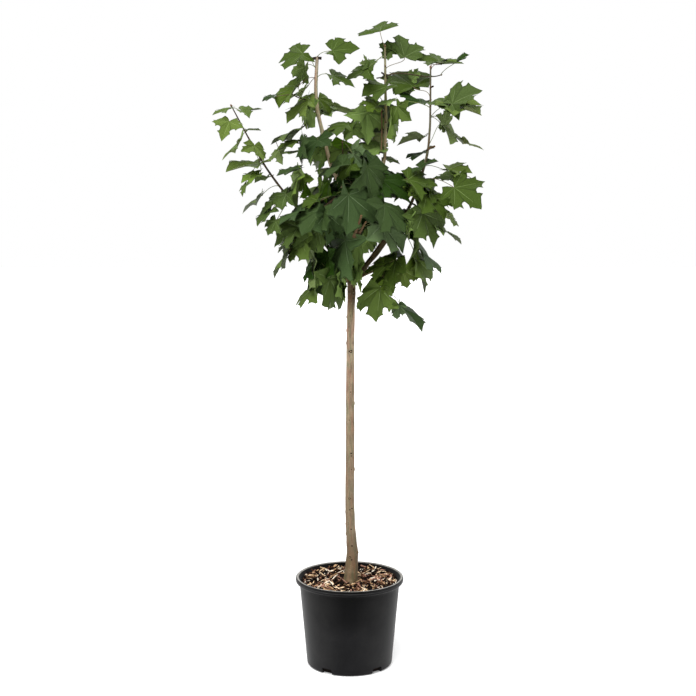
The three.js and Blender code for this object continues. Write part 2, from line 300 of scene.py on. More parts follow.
# ------------------------------------------------------------------ mesh pieces
class Piece:
    """Gathers many small shapes into one mesh object."""

    def __init__(self, name):
        self.name, self.verts, self.loops, self.sizes, self.mat, self.smooth = name, [], [], [], [], []
        self.count, self.slots = 0, []

    def slot(self, m):
        if m not in self.slots:
            self.slots.append(m)
        return self.slots.index(m)

    def add(self, verts, faces, m, smooth=True):
        """faces is an array of rows of the same length; m is one material or one for each face."""
        faces = np.asarray(faces, np.int64)
        if len(faces) == 0:
            return
        self.verts.append(np.asarray(verts, np.float32))
        self.loops.append((faces + self.count).ravel())
        self.sizes.append(np.full(len(faces), faces.shape[1]))
        if isinstance(m, bpy.types.Material):
            self.mat.append(np.full(len(faces), self.slot(m)))
        else:
            self.mat.append(np.asarray(m))
        self.smooth.append(np.full(len(faces), bool(smooth)))
        self.count += len(verts)

    def more(self, faces, m, smooth, back):
        """More faces on the vertices of the shape added last, which began `back` vertices ago."""
        faces = np.asarray(faces, np.int64)
        if len(faces) == 0:
            return
        self.loops.append((faces + self.count - back).ravel())
        self.sizes.append(np.full(len(faces), faces.shape[1]))
        if isinstance(m, bpy.types.Material):
            self.mat.append(np.full(len(faces), self.slot(m)))
        else:
            self.mat.append(np.asarray(m))
        self.smooth.append(np.full(len(faces), bool(smooth)))

    def build(self, rides="root", slot=None, replaces=()):
        verts = np.concatenate(self.verts) * MM
        loops = np.concatenate(self.loops)
        sizes = np.concatenate(self.sizes)
        me = bpy.data.meshes.new(self.name)
        me.vertices.add(len(verts))
        me.vertices.foreach_set("co", verts.astype(np.float32).ravel())
        me.loops.add(len(loops))
        me.loops.foreach_set("vertex_index", loops.astype(np.int32))
        me.polygons.add(len(sizes))
        starts = np.concatenate([[0], np.cumsum(sizes)[:-1]])
        me.polygons.foreach_set("loop_start", starts.astype(np.int32))
        me.polygons.foreach_set("material_index", np.concatenate(self.mat).astype(np.int32))
        me.polygons.foreach_set("use_smooth", np.concatenate(self.smooth))
        for m in self.slots:
            me.materials.append(m)
        me.update(calc_edges=True)
        me.validate()
        ob = bpy.data.objects.new(self.name, me)
        scene.collection.objects.link(ob)
        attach(ob, rides)
        if replaces:
            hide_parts(*replaces)
        return ob

    def triangles(self):
        return int(sum((s - 2).sum() for s in self.sizes))


def unit(v):
    v = np.asarray(v, float)
    return v / max(1e-9, np.linalg.norm(v))


def spline(points, per=8):
    """A smooth line through the points (centripetal, with open ends)."""
    q = np.asarray(points, float)
    q = np.vstack([2 * q[0] - q[1], q, 2 * q[-1] - q[-2]])
    out = []
    for i in range(1, len(q) - 2):
        p0, p1, p2, p3 = q[i - 1 : i + 3]
        t = [0.0]
        for a, b in ((p0, p1), (p1, p2), (p2, p3)):
            t.append(t[-1] + max(1e-6, np.linalg.norm(b - a)) ** 0.5)
        for u in np.linspace(t[1], t[2], per, endpoint=False):
            a1 = (t[1] - u) / (t[1] - t[0]) * p0 + (u - t[0]) / (t[1] - t[0]) * p1
            a2 = (t[2] - u) / (t[2] - t[1]) * p1 + (u - t[1]) / (t[2] - t[1]) * p2
            a3 = (t[3] - u) / (t[3] - t[2]) * p2 + (u - t[2]) / (t[3] - t[2]) * p3
            b1 = (t[2] - u) / (t[2] - t[0]) * a1 + (u - t[0]) / (t[2] - t[0]) * a2
            b2 = (t[3] - u) / (t[3] - t[1]) * a2 + (u - t[1]) / (t[3] - t[1]) * a3
            out.append((t[2] - u) / (t[2] - t[1]) * b1 + (u - t[1]) / (t[2] - t[1]) * b2)
    out.append(q[-2])
    return np.array(out)


def even(points, step):
    """The same line with points about `step` apart."""
    p = np.asarray(points, float)
    s = np.concatenate([[0], np.cumsum(np.linalg.norm(np.diff(p, axis=0), axis=1))])
    n = max(2, int(round(s[-1] / step)) + 1)
    u = np.linspace(0, s[-1], n)
    return np.stack([np.interp(u, s, p[:, k]) for k in range(3)], 1)


def frames(p):
    """Tangent and two side directions carried along a line without twisting."""
    t = np.gradient(p, axis=0)
    t /= np.maximum(1e-9, np.linalg.norm(t, axis=1))[:, None]
    ref = np.array([0, 1.0, 0]) if abs(t[0][1]) < 0.8 else np.array([1.0, 0, 0])
    a = unit(ref - t[0] * (ref @ t[0]))
    side = [a]
    for i in range(1, len(p)):
        a = unit(a - t[i] * (a @ t[i]))
        side.append(a)
    side = np.array(side)
    return t, side, np.cross(t, side)


def tube(piece, points, radii, sides, m, end_m=None, lumps=0.0, seed=0.0):
    """A closed round limb along a line."""
    p = np.asarray(points, float)
    r = np.broadcast_to(np.asarray(radii, float), (len(p),))
    t, a, b = frames(p)
    turn = np.arange(sides) * 2 * math.pi / sides
    ring = np.cos(turn)[None, :, None] * a[:, None] + np.sin(turn)[None, :, None] * b[:, None]
    rad = np.repeat(r[:, None], sides, 1)
    if lumps:
        for i in range(len(p)):
            for k in range(sides):
                q = p[i] * 0.045 + ring[i, k] * 0.9 + seed
                rad[i, k] *= 1 + lumps * noise.noise(Vector(q))
    v = p[:, None] + ring * rad[..., None]
    n, s = len(p), sides
    verts = np.vstack([v.reshape(-1, 3), p[0], p[-1]])
    i, k = np.meshgrid(np.arange(n - 1), np.arange(s), indexing="ij")
    k2 = (k + 1) % s
    quads = np.stack([i * s + k, i * s + k2, (i + 1) * s + k2, (i + 1) * s + k], -1).reshape(-1, 4)
    piece.add(verts, quads, m)
    k = np.arange(s)
    piece.more(np.stack([np.full(s, n * s), (k + 1) % s, k], 1), end_m or m, False, len(verts))
    e = (n - 1) * s
    piece.more(np.stack([np.full(s, n * s + 1), e + k, e + (k + 1) % s], 1), end_m or m, False, len(verts))


# ------------------------------------------------------------------ the leaf
TIP, SIDE, BASAL, HEEL = (0.0, 1.0), (0.86, 0.53), (0.70, -0.14), (0.05, -0.08)
# Right half of the edge, lean and full; each shape lies somewhere between the two.
EDGES = {
    "notch_1": ([(0.270, 0.530)], [(0.335, 0.615)]),
    "notch_2": ([(0.520, 0.100)], [(0.600, 0.110)]),
    "mid": (
        [(0.255, 0.600), (0.270, 0.670), (0.335, 0.755), (0.215, 0.775), (0.125, 0.860), (0.045, 0.945)],
        [(0.325, 0.665), (0.335, 0.715), (0.385, 0.790), (0.265, 0.815), (0.160, 0.885), (0.055, 0.955)],
    ),
    "side_up": (
        [(0.360, 0.520), (0.450, 0.545), (0.545, 0.665), (0.595, 0.575), (0.700, 0.555), (0.785, 0.545)],
        [(0.420, 0.610), (0.500, 0.635), (0.580, 0.725), (0.640, 0.640), (0.730, 0.605), (0.805, 0.570)],
    ),
    "side_low": (
        [(0.585, 0.155), (0.660, 0.190), (0.800, 0.220), (0.745, 0.315), (0.775, 0.405), (0.815, 0.475)],
        [(0.660, 0.150), (0.730, 0.180), (0.850, 0.205), (0.805, 0.305), (0.825, 0.395), (0.845, 0.470)],
    ),
    "basal_up": (
        [(0.560, 0.060), (0.605, 0.020), (0.645, -0.030), (0.670, -0.085)],
        [(0.640, 0.070), (0.680, 0.030), (0.705, -0.020), (0.710, -0.080)],
    ),
    "basal_low": (
        [(0.160, -0.170), (0.310, -0.275), (0.420, -0.200), (0.570, -0.175)],
        [(0.170, -0.210), (0.330, -0.320), (0.460, -0.260), (0.600, -0.215)],
    ),
}


class Leaf:
    """One outline with its inner grid: five main veins, two half blades to each, toothed edges."""

    def __init__(self, seed, full):
        rng = random.Random(seed)

        def edge(name):
            return [np.array(a) * (1 - full) + np.array(b) * full for a, b in zip(*EDGES[name])]

        def wob(pt, a):
            return np.array([pt[0] + rng.uniform(-a, a), pt[1] + rng.uniform(-a, a)])

        verts, index, tris, veins, rims = [], {}, [], [], []

        def vert(p):
            key = (round(p[0], 5), round(p[1], 5))
            if key not in index:
                index[key] = len(verts)
                verts.append(p)
            return index[key]

        def tri(a, b, c, vein):
            if len({a, b, c}) < 3:
                return
            pa, pb, pc = verts[a], verts[b], verts[c]
            area = (pb[0] - pa[0]) * (pc[1] - pa[1]) - (pb[1] - pa[1]) * (pc[0] - pa[0])
            if abs(area) < 1e-9:
                return
            tris.append((a, b, c) if area > 0 else (a, c, b))
            veins.append(vein)

        base = np.zeros(2)
        tip = wob(TIP, 0.02)
        halves = []  # (vein tip, outer line from the base to the tip, rim start)
        for sgn in (1, -1):
            flip = np.array([sgn, 1.0])
            n1, n2 = wob(edge("notch_1")[0], 0.02) * flip, wob(edge("notch_2")[0], 0.02) * flip
            heel = wob(HEEL, 0.008) * flip
            side, basal = wob(SIDE, 0.03) * flip, wob(BASAL, 0.03) * flip
            e = lambda name: [wob(q, 0.016) * flip for q in edge(name)]
            line = lambda s: [base, s / 3, s * 2 / 3, s]
            halves.append(("mid", tip, line(n1) + e("mid") + [tip]))
            halves.append((f"side{sgn}", side, line(n1) + e("side_up") + [side]))
            halves.append((f"side{sgn}", side, line(n2) + e("side_low") + [side]))
            halves.append((f"basal{sgn}", basal, line(n2) + e("basal_up") + [basal]))
            halves.append((f"basal{sgn}", basal, line(heel) + e("basal_low") + [basal]))
        steps = {}
        for name, end, outer in halves:
            long2 = end @ end
            s = [max(0.0, (q @ end) / long2 - 0.30 * abs(q[0] * end[1] - q[1] * end[0]) / long2) for q in outer]
            steps.setdefault(name, []).append(s)
        for name, sets in steps.items():
            s = np.mean(sets, axis=0)
            for i in range(1, len(s)):
                s[i] = max(s[i], s[i - 1] + 0.025)
            s = (s - s[0]) / (s[-1] - s[0])
            steps[name] = s
        self.vein_lines = {name: end for name, end, _ in halves}
        for name, end, outer in halves:
            s = steps[name]
            rows = []
            for i, q in enumerate(outer):
                v = end * s[i]
                gap = np.linalg.norm(q - v)
                wide = 0.0125 * (1 - 0.75 * s[i]) * (0.75 if name.startswith("basal") else 1.0)
                c1 = min(0.45, wide / gap) if gap > 1e-6 else 0.0
                cols = [0.0, c1, c1 + 0.84 * (1 - c1), 1.0] if gap > 1e-6 else [0.0] * 4
                rows.append([vert(v + (q - v) * c) for c in cols])
            for i in range(len(rows) - 1):
                for c in range(3):
                    a, b = rows[i][c], rows[i][c + 1]
                    d, f = rows[i + 1][c], rows[i + 1][c + 1]
                    zone = (2 if s[i] < 0.62 else 0, 0, 1)[c]
                    tri(a, b, f, zone)
                    tri(a, f, d, zone)
        self.xy = np.array(verts)
        self.tris = np.array(tris)
        self.zone = np.array(veins)  # 0 inner blade, 1 margin, 2 vein
        # the rim: edges that only one triangle uses
        seen = {}
        for a, b, c in self.tris:
            for q in ((a, b), (b, c), (c, a)):
                if (q[1], q[0]) in seen:
                    del seen[(q[1], q[0])]
                else:
                    seen[q] = True
        self.rim = np.array(list(seen))
        x, y = self.xy.T
        near = np.full(len(x), 9.0)
        for end in self.vein_lines.values():
            h = np.clip((x * end[0] + y * end[1]) / (end @ end), 0, 1)
            near = np.minimum(near, np.hypot(x - h * end[0], y - h * end[1]))
        self.near = near
        self.far = np.hypot(x, y)
        self.turn = np.arctan2(x, y)
        self.ends = [
            int(np.hypot(x - e[0], y - e[1]).argmin())
            for e in (self.vein_lines[n] for n in ("mid", "side-1", "side1", "basal-1", "basal1"))
        ]

    def heights(self, fold, droop, wave, phase, twist, curl):
        x, y = self.xy.T
        # sunk veins, with the blade pleated up between them
        z = 0.020 * (1 - np.exp(-((self.near / 0.055) ** 2))) + (0.28 + 0.10 * math.sin(2 * phase)) * self.near
        z = z + fold * np.abs(x) - droop * self.far**2 - curl * np.maximum(0, np.abs(x) - 0.25) ** 2
        z = z + 1.5 * wave * self.far * np.sin(3 * self.turn + phase) + twist * x * y
        return z + 0.010 * np.sin(9 * self.far + phase) * np.minimum(1, self.near / 0.08)


SHAPES = [Leaf(11 + k, (k % 4) / 3) for k in range(8)]
THICK = 0.22


def leaf_points(shape, base, size, ex, ey, en, bend):
    z = shape.heights(*bend)
    x, y = shape.xy.T
    return base + size * (x[:, None] * ex + y[:, None] * ey + z[:, None] * en)


def add_leaf(piece, shape, pts, en, tone):
    up_m, ed_m, ve_m, un_m = leaf_mats[tone]
    n = len(pts)
    verts = np.vstack([pts + en * THICK, pts - en * THICK])
    slots = np.array([piece.slot(up_m), piece.slot(ed_m), piece.slot(ve_m)])[shape.zone]
    piece.add(verts, shape.tris, slots)
    piece.more(shape.tris[:, ::-1] + n, un_m, True, 2 * n)
    a, b = shape.rim.T
    piece.more(np.stack([a, a + n, b + n, b], 1), up_m, False, 2 * n)


# ------------------------------------------------------------------ limbs, as in the CAD
STEM_LINE = [
    (217.4, 3.6, 18.4), (234.4, 4.7, 17.6), (266.5, 5.7, 16.2), (295.5, 7.3, 14.8), (327.6, 5.0, 13.5),
    (372.7, 2.0, 12.3), (433.7, 0.4, 11.7), (554.7, 1.4, 11.2), (688.5, 1.3, 10.9), (821.1, 1.8, 10.1),
    (926.7, 3.4, 9.9), (965.5, 4.8, 10.0), (1000.0, 4.8, 9.8),
]
BOUGHS = {
    "left_leader": (6.8, 4.2, [(3, 0, 1000), (7, -6, 1104), (-20, -12, 1231), (-47, -14, 1293), (-57, -14, 1329), (-69, -14, 1377), (-80, -14, 1426), (-83.5, -14, 1475), (-80, -14, 1555)]),
    "centre_leader": (6.4, 2.5, [(6, 4, 1001), (16, 8, 1120), (54, 16, 1220), (86, 22, 1298), (89, 24, 1345), (91, 26, 1408), (89.7, 26, 1472), (88, 26, 1582)]),
    "right_leader": (5.0, 2.0, [(8, -3, 1005), (31, -10, 1019), (45, -15, 1043), (67, -21, 1068), (85, -26, 1094), (147, -36, 1185), (189.5, -39, 1308), (197.2, -41, 1376), (198.2, -42, 1437), (198, -42, 1526)]),
    "left_shoot": (4.6, 1.4, [(-2, -3, 1003), (-29, -14, 1049), (-112, -24, 1160), (-196, -32, 1268), (-244, -36, 1347), (-290, -38, 1433)]),
    "low_left_bough": (4.4, 3.2, [(-4, -5, 1002), (-34, -26, 1028), (-83, -60, 1062)]),
    "low_right_bough": (4.4, 3.2, [(11, -5, 1002), (41, -30, 1020), (85, -62, 1042)]),
    "front_bough": (4.6, 3.2, [(3, -7, 1002), (3, -50, 1052), (5, -105, 1129)]),
    "back_bough": (5.4, 3.4, [(6, 8, 1002), (11, 60, 1054), (22, 125, 1144)]),
    "back_left_bough": (5.0, 3.2, [(-2, 6, 1002), (-40, 58, 1060), (-108, 118, 1160)]),
    "back_right_bough": (5.0, 3.2, [(11, 6, 1002), (62, 58, 1065), (136, 118, 1170)]),
}
BARK_OF = {"left_leader": "pale", "centre_leader": "mid", "right_leader": "olive", "left_shoot": "dark", "low_right_bough": "olive"}


def stem_at(z):
    zs, xs, rs = zip(*STEM_LINE)
    k = int(np.clip(np.searchsorted(zs, z) - 1, 0, len(zs) - 2))
    t = min(1.0, max(0.0, (z - zs[k]) / (zs[k + 1] - zs[k])))
    s = t * t * (3 - 2 * t)
    return xs[k] + (xs[k + 1] - xs[k]) * s, rs[k] + (rs[k + 1] - rs[k]) * t


class Wood:
    """Points on all the wood so far, each with its radius and direction, for twigs and stalks to grow from."""

    def __init__(self):
        self.p, self.r, self.t = np.zeros((0, 3)), np.zeros(0), np.zeros((0, 3))

    def grow(self, p, r):
        t, _, _ = frames(p)
        self.p = np.vstack([self.p, p])
        self.r = np.concatenate([self.r, np.broadcast_to(r, (len(p),))])
        self.t = np.vstack([self.t, t])


wood = Wood()
boughs = Piece("boughs")
twigs = Piece("twigs")
buds = Piece("buds")
stalks = Piece("leaf_stalks")
rng = random.Random(4)

bough_lines = {}
for k, (name, (r0, r1, pts)) in enumerate(BOUGHS.items()):
    line = even(spline(pts, 10), 6.0)
    bough_lines[name] = line
    n = len(line)
    u = np.linspace(0, 1, n)
    rad = r0 + (r1 - r0) * u
    rad = rad * (1 + 0.22 * np.exp(-((u * n * 6.0) / 22.0) ** 2))
    # a slight swelling at each pair of buds
    node = np.zeros(n)
    pos, s = 55.0 + 20 * rng.random(), u * n * 6.0
    while pos < s[-1] - 10:
        node += np.exp(-((s - pos) / 4.0) ** 2)
        pos += 46 + 26 * rng.random()
    rad = rad * (1 + 0.12 * node)
    tube(boughs, line, rad, 14, barks[BARK_OF.get(name, "tan")], cut_mat if name == "left_leader" else None, 0.10, k * 3.7)
    wood.grow(line[4:], rad[4:])

# ------------------------------------------------------------------ leaves seen from the front
# Base, tip, the two side lobes' tips and the two basal lobes' tips in the front view, then depth,
# tone, u for upper face or d for underside, and the seed of the leaf's own outline and bend.
SPRAYS = [
    # left spray
    (229.8, 108.9, 212.2, 115.2, 218.8, 110.2, 225.9, 113.5, 231.1, 107.4, 233.7, 107.2, -67, "h", "u", 8831),
    (229.6, 121.6, 221.1, 141.4, 211.6, 121.7, 244.2, 128.2, 216, 120, 242.5, 123.6, -96, "l", "u", 6583),
    (242.3, 111.2, 262.5, 109.1, 255, 109.3, 249.7, 118.5, 240, 106.4, 240.3, 112.7, -33, "h", "u", 987),
    (247.1, 130, 261.1, 130.5, 256.6, 129.9, 252.6, 130.1, 246.7, 129.7, 245.8, 132.3, 13, "c", "d", 4909),
    (240.4, 141.2, 222, 160.6, 237.9, 148.8, 235.1, 153.6, 241.8, 137.5, 244.1, 128.4, -32, "g", "d", 8221),
    (254.4, 145.8, 263.6, 161.1, 240.9, 151.5, 265.7, 158.6, 242.9, 142.8, 263.6, 148.8, -82, "l", "u", 5369),
    (259, 163.7, 225.7, 172.2, 233.6, 163.5, 257.6, 168.7, 253.3, 162.1, 271.1, 161.4, -37, "l", "u", 9446),
    (258.3, 174.7, 241.2, 183.4, 247.2, 173.5, 251, 183.5, 261.2, 170, 261.3, 176.2, -81, "y", "u", 8203),
    (268.2, 177.3, 254.3, 183.1, 255.1, 177.2, 265.1, 180.9, 266.5, 176.5, 272.3, 176.6, -25, "d", "d", 5874),
    (246.6, 184.5, 242.5, 197, 239.4, 190.4, 245.2, 193.5, 246.6, 180.7, 250.4, 183.5, -94, "h", "u", 9980),
    (261.4, 195.7, 242.3, 213.8, 255.3, 202.7, 256.3, 205.9, 263, 191.9, 262.9, 195.5, -58, "s", "d", 215),
    (286, 194.6, 263.2, 213.7, 268.5, 197.9, 282.1, 210.7, 280.6, 193.2, 294.9, 206.5, -84, "o", "u", 1430),
    (271, 210.6, 257.3, 226.5, 259.5, 215.2, 265.1, 221.7, 266.4, 201.4, 279.2, 211.5, -91, "o", "u", 9250),
    (279.1, 150.7, 282.6, 165.1, 268.3, 160.2, 286.8, 147.7, 271, 154.4, 286.9, 143.3, -17, "s", "u", 3427),
    (300.8, 129.2, 270.7, 144.8, 282.6, 142, 290, 142, 301.6, 129.9, 307.6, 124.5, -6, "h", "d", 5038),
    (300.7, 140.8, 275.9, 151, 288.5, 141.1, 291.8, 148.2, 304.8, 142.4, 304.8, 138.6, -37, "h", "u", 9877),
    (297.7, 170.1, 276.4, 176.1, 283.2, 170.8, 285.4, 175.2, 299.1, 165.2, 301.8, 167.9, -95, "b", "u", 4460),
    (301.3, 150.9, 278.7, 155, 288.9, 154.3, 287.4, 153.7, 304.4, 151.4, 304.8, 152.2, -15, "g", "u", 6588),
    # top left
    (302.8, 54, 278.3, 63.4, 295.2, 44.8, 284.3, 69.8, 307.3, 44.7, 315.2, 62.2, -42, "d", "u", 1177),
    (305.2, 66.6, 298.1, 89.7, 291.3, 72.4, 308.7, 83.4, 298.9, 59.9, 308.6, 68.3, 5, "h", "u", 5889),
    (297, 87.3, 278.8, 108.6, 274.9, 95.8, 289, 102.9, 286.9, 85, 303.5, 78.7, -42, "n", "u", 8473),
    (305.9, 88.4, 289.8, 99.1, 297.3, 96.1, 301.1, 98.7, 303.8, 87.8, 307, 87.3, 4, "g", "d", 8150),
    # left upper
    (308.4, 100.7, 286.8, 123.7, 291.9, 109.2, 306.3, 117.1, 308.7, 94.6, 314.8, 107.1, -43, "l", "u", 203),
    (311.1, 105.1, 307, 129.7, 302.2, 118.1, 315.2, 127.3, 298.9, 99, 318.9, 100.1, -6, "g", "u", 75),
    (318.5, 98.5, 330, 114.7, 334.3, 105.6, 314, 110.3, 326.1, 95.7, 306.8, 96.1, 38, "n", "u", 5346),
    (320.4, 111.2, 331.9, 116.9, 334.7, 111.6, 315.4, 116.5, 326.1, 107.8, 311.9, 110.4, 44, "g", "u", 9434),
    (349.7, 113.5, 328.2, 103.7, 339.7, 105.6, 337.6, 110.9, 352.9, 111.3, 352, 117.5, 31, "g", "d", 5344),
    # top middle
    (332.3, 50.7, 360, 48.3, 338.9, 37.5, 338.9, 64.6, 330.7, 39.2, 327, 54.4, -37, "d", "u", 918),
    (331.7, 75.6, 355.2, 87.7, 345.3, 75.4, 333.2, 86.1, 331.8, 69, 329.9, 79.6, -46, "d", "u", 7294),
    (367.6, 68.2, 344.9, 81.7, 354.6, 68.7, 373.5, 80.7, 367.6, 66.5, 373.2, 70.6, -5, "d", "u", 6222),
    (369.5, 66.3, 362.6, 61.4, 356.9, 70.6, 374.9, 59.2, 362.8, 70.5, 377.7, 61.9, 1, "o", "u", 5155),
    # top and top right
    (380.1, 31.5, 383.3, 21.5, 357.8, 34.6, 398, 24.2, 358.6, 36.2, 398.7, 25.7, 18, "d", "u", 5214),
    (404.5, 57.1, 398.5, 34.5, 379.1, 45.2, 424.4, 47, 393.7, 51.2, 423.8, 56.6, 40, "o", "u", 7646),
    (440.2, 62, 412.6, 60, 427.6, 66.1, 436.7, 55.5, 441.1, 65.1, 446.6, 59.8, 52, "d", "u", 2324),
    (440.2, 64.4, 464.1, 63.8, 447.7, 59.1, 461.1, 63.6, 429.6, 62.2, 442, 63, 43, "n", "u", 1581),
    (413.2, 86.9, 394.5, 72.3, 380.1, 79, 430.9, 75.7, 394.9, 95.2, 431.2, 80.1, 48, "d", "u", 818),
    (412.2, 79.5, 418.6, 67.9, 409.5, 70.1, 420.9, 74.9, 406.8, 79.6, 416.6, 83, 72, "g", "u", 6717),
    # centre top
    (387.1, 86.6, 361.6, 96.8, 370, 78.9, 376.4, 101.8, 382.6, 87.4, 397.3, 87.5, -15, "d", "u", 2708),
    (377, 106.3, 358.2, 104.5, 367.6, 95.9, 366.7, 111.9, 381.4, 103.6, 379.3, 112.4, -25, "n", "u", 892),
    (367.1, 112.4, 366.9, 145.4, 343.1, 115.3, 385, 128.1, 351.1, 111.3, 384.7, 108.4, 22, "g", "u", 5110),
    (348.5, 125.5, 326.5, 134.3, 330.1, 125.6, 336.5, 136.7, 353.2, 124.8, 351.6, 131.5, -65, "d", "u", 6356),
    (353.7, 127, 345.5, 141.5, 343.3, 141.1, 368, 139.4, 342.8, 123.9, 363.9, 123.8, 52, "g", "u", 2433),
    (393.8, 100.9, 378.1, 105, 386.9, 100.6, 389.5, 106.1, 395.4, 98.2, 397.2, 99.2, -39, "g", "u", 6477),
    (397.4, 106.2, 412, 120.8, 389.6, 126, 409.2, 100.7, 389.5, 111, 400.6, 102.5, -62, "h", "u", 4969),
    (390.8, 116.1, 393.3, 143.5, 386.5, 138.2, 397.8, 127.2, 390.7, 113.8, 390.2, 110.6, -49, "y", "u", 5951),
    # right top
    (452.1, 104, 482.7, 90.5, 457.5, 82.3, 473.7, 99.3, 445.9, 97.7, 459.1, 120.7, -87, "o", "u", 4324),
    (449.5, 105.9, 481.8, 115.7, 482.1, 105.4, 453.7, 116.2, 454.1, 92.6, 434.2, 105.6, -65, "l", "u", 2664),
    (432.6, 103.2, 452.4, 105, 445.7, 98.7, 446.1, 110.8, 431.2, 102.7, 428.7, 104.7, -82, "o", "u", 7481),
    (442.7, 125.3, 463.2, 144.1, 455.1, 135.1, 449.9, 144.5, 440.4, 116.8, 440.5, 124.6, -47, "s", "u", 3222),
    (464.7, 143, 484, 150.1, 470.9, 145.5, 475.4, 146.9, 462.4, 136.4, 462.3, 144.2, -26, "l", "d", 4057),
    (443.6, 125.1, 435.3, 114.9, 438.1, 127.6, 447, 109.2, 442.3, 132.3, 452.8, 116.3, -42, "s", "u", 7394),
    # right inner
    (422.2, 137.9, 396.8, 145.7, 408.5, 132.8, 406.5, 141.2, 424.5, 136.5, 419.3, 142.3, -8, "c", "d", 4958),
    (425.2, 151.9, 405.8, 158.6, 413.5, 159.2, 412, 160.9, 434.5, 148.2, 428.1, 153.4, 9, "k", "u", 9672),
    (419.4, 167.3, 438.7, 161.2, 432.6, 159.8, 421.3, 170.5, 423.4, 159.2, 412.1, 173.2, -55, "b", "u", 7967),
    (386, 158.9, 400, 164.2, 394.8, 159.2, 390.3, 163.1, 384.3, 156.4, 381.3, 161.7, 44, "d", "u", 4218),
    # right middle
    (408, 179.6, 437.8, 186.4, 422.9, 171.2, 422, 202, 408.3, 166.6, 407.5, 182.8, -92, "d", "u", 5738),
    (381.6, 180, 410.9, 204.1, 406.3, 180.4, 379.2, 199.8, 382.6, 168.9, 366.5, 185, -85, "k", "u", 9723),
    (426.3, 196.8, 444.8, 222.2, 454.6, 201.2, 421.7, 214.2, 436.9, 192, 410.2, 195.1, -83, "d", "u", 7686),
    (447.9, 170.2, 472.7, 173.4, 464.8, 163, 454.9, 177.2, 449, 165.5, 441.7, 169.8, -35, "l", "u", 9262),
    (454.3, 187.7, 481.4, 209.6, 485.2, 181.5, 454, 210.1, 465, 168.9, 439.8, 200.1, -94, "d", "u", 794),
    (452, 177.8, 430.5, 179.7, 442.4, 173.8, 442.4, 180.9, 452.5, 170.7, 455.7, 183.6, -52, "d", "d", 9733),
    (428.1, 188.3, 441.7, 206.7, 433.2, 195.2, 430, 203.7, 433.9, 178.5, 424.5, 187.4, -62, "d", "u", 8090),
    # right low
    (422.2, 213.2, 433.5, 248.9, 413.5, 237.4, 445.6, 223.2, 401.9, 215.4, 434.5, 201.5, -85, "o", "u", 6380),
    (448.1, 215.2, 458.4, 226.7, 453.8, 217.7, 453.5, 226.6, 447.6, 210.1, 445.4, 217.8, -76, "l", "u", 5026),
    (446.7, 232.2, 461.5, 244.5, 453.6, 235.4, 455.5, 240.8, 443.6, 232, 445.1, 231.8, -41, "h", "d", 9317),
    (434.9, 225.1, 443.8, 236.2, 445.8, 231, 436.6, 230.5, 436.5, 224.3, 430, 224.3, -42, "g", "u", 4748),
    (419.7, 250.2, 442, 274.7, 434.2, 268.3, 426.8, 269.1, 417.9, 241.5, 418.4, 247.4, -72, "e", "u", 9853),
    (416.5, 259.4, 424.3, 293.2, 414.7, 276.8, 432.9, 277.6, 411.8, 254.8, 423.4, 258.6, -77, "h", "u", 6957),
    (413.9, 245.8, 416.3, 281.3, 405.6, 265.5, 417.9, 268.6, 418.3, 240.4, 418.5, 238.7, -80, "n", "u", 2786),
    (402.4, 270.3, 407, 288.6, 387, 284, 417.7, 279.3, 388.3, 271.6, 418.4, 263.1, -93, "l", "u", 1982),
    # low right
    (396.1, 260.6, 373.9, 286, 373.7, 270.1, 392.2, 288.6, 395.4, 250.9, 405.7, 272, -84, "d", "u", 3237),
    (380.4, 287.7, 376.3, 322.5, 356.9, 308.1, 399.4, 307.6, 362.7, 289.2, 392.7, 294.2, -106, "h", "u", 7152),
    (399.2, 304.7, 397.3, 319.7, 391.6, 312.1, 406.2, 313.4, 394, 303, 407.2, 306.4, -124, "c", "u", 8473),
    (401.2, 307.6, 422.4, 332.6, 422.9, 320.3, 409.9, 321.5, 399.4, 302.9, 392, 304.5, -105, "q", "u", 1098),
    (386.6, 280.8, 393.6, 293.7, 398.5, 279.3, 382.2, 292.2, 393.3, 272.1, 377.5, 284, -115, "n", "u", 6081),
    # front middle
    (320.9, 210, 301.7, 236.4, 295.1, 217.8, 327.2, 230.9, 313.7, 205.2, 335.6, 210.5, -187, "b", "u", 9838),
    (348.3, 194.7, 346.3, 235.8, 326.4, 214.3, 379.6, 221.6, 342.2, 181.5, 367.2, 187.8, -218, "e", "u", 8955),
    (325.5, 213.2, 326, 247.2, 313.2, 229.7, 345.3, 231.2, 315, 213.5, 339.5, 209.7, -197, "e", "u", 171),
    (367.1, 166.6, 373.5, 206.3, 348.7, 188.8, 384, 187.7, 359.9, 172.2, 389, 167.5, -158, "b", "u", 8585),
    (381.7, 224.9, 391.2, 254.2, 366.3, 240, 403.1, 253.7, 360.3, 215.1, 404.6, 220, -154, "c", "u", 6589),
    (384.3, 204.9, 405.3, 234.1, 406.2, 217.3, 379.9, 232.3, 378.5, 200.3, 366.2, 201.5, -170, "b", "u", 97),
    (352.8, 154, 363, 166.8, 365.7, 149.5, 349.5, 172.2, 360.1, 138.2, 345.7, 160.1, -103, "c", "u", 5609),
    (380.4, 147.9, 355.1, 148.2, 367.6, 141.2, 372.3, 157.4, 385.2, 144.6, 385.6, 152.3, 38, "g", "u", 3301),
    (350.7, 165.3, 333.3, 173.4, 339.4, 165.1, 342, 181, 351.1, 157.1, 360.8, 170.3, -122, "d", "u", 6231),
    (318, 140.5, 309.5, 162, 295.5, 157.6, 330.2, 145.8, 305.1, 139.8, 333.6, 133.3, -113, "q", "u", 2952),
    (342.9, 164.6, 317.8, 177.8, 327.5, 171.8, 327.7, 178.2, 341.9, 153.9, 351.1, 164.3, -153, "b", "u", 773),
    (300.6, 173.9, 297.4, 210.4, 292.6, 183, 296.1, 193.6, 296.7, 168.6, 305.2, 176.2, -83, "y", "u", 102),
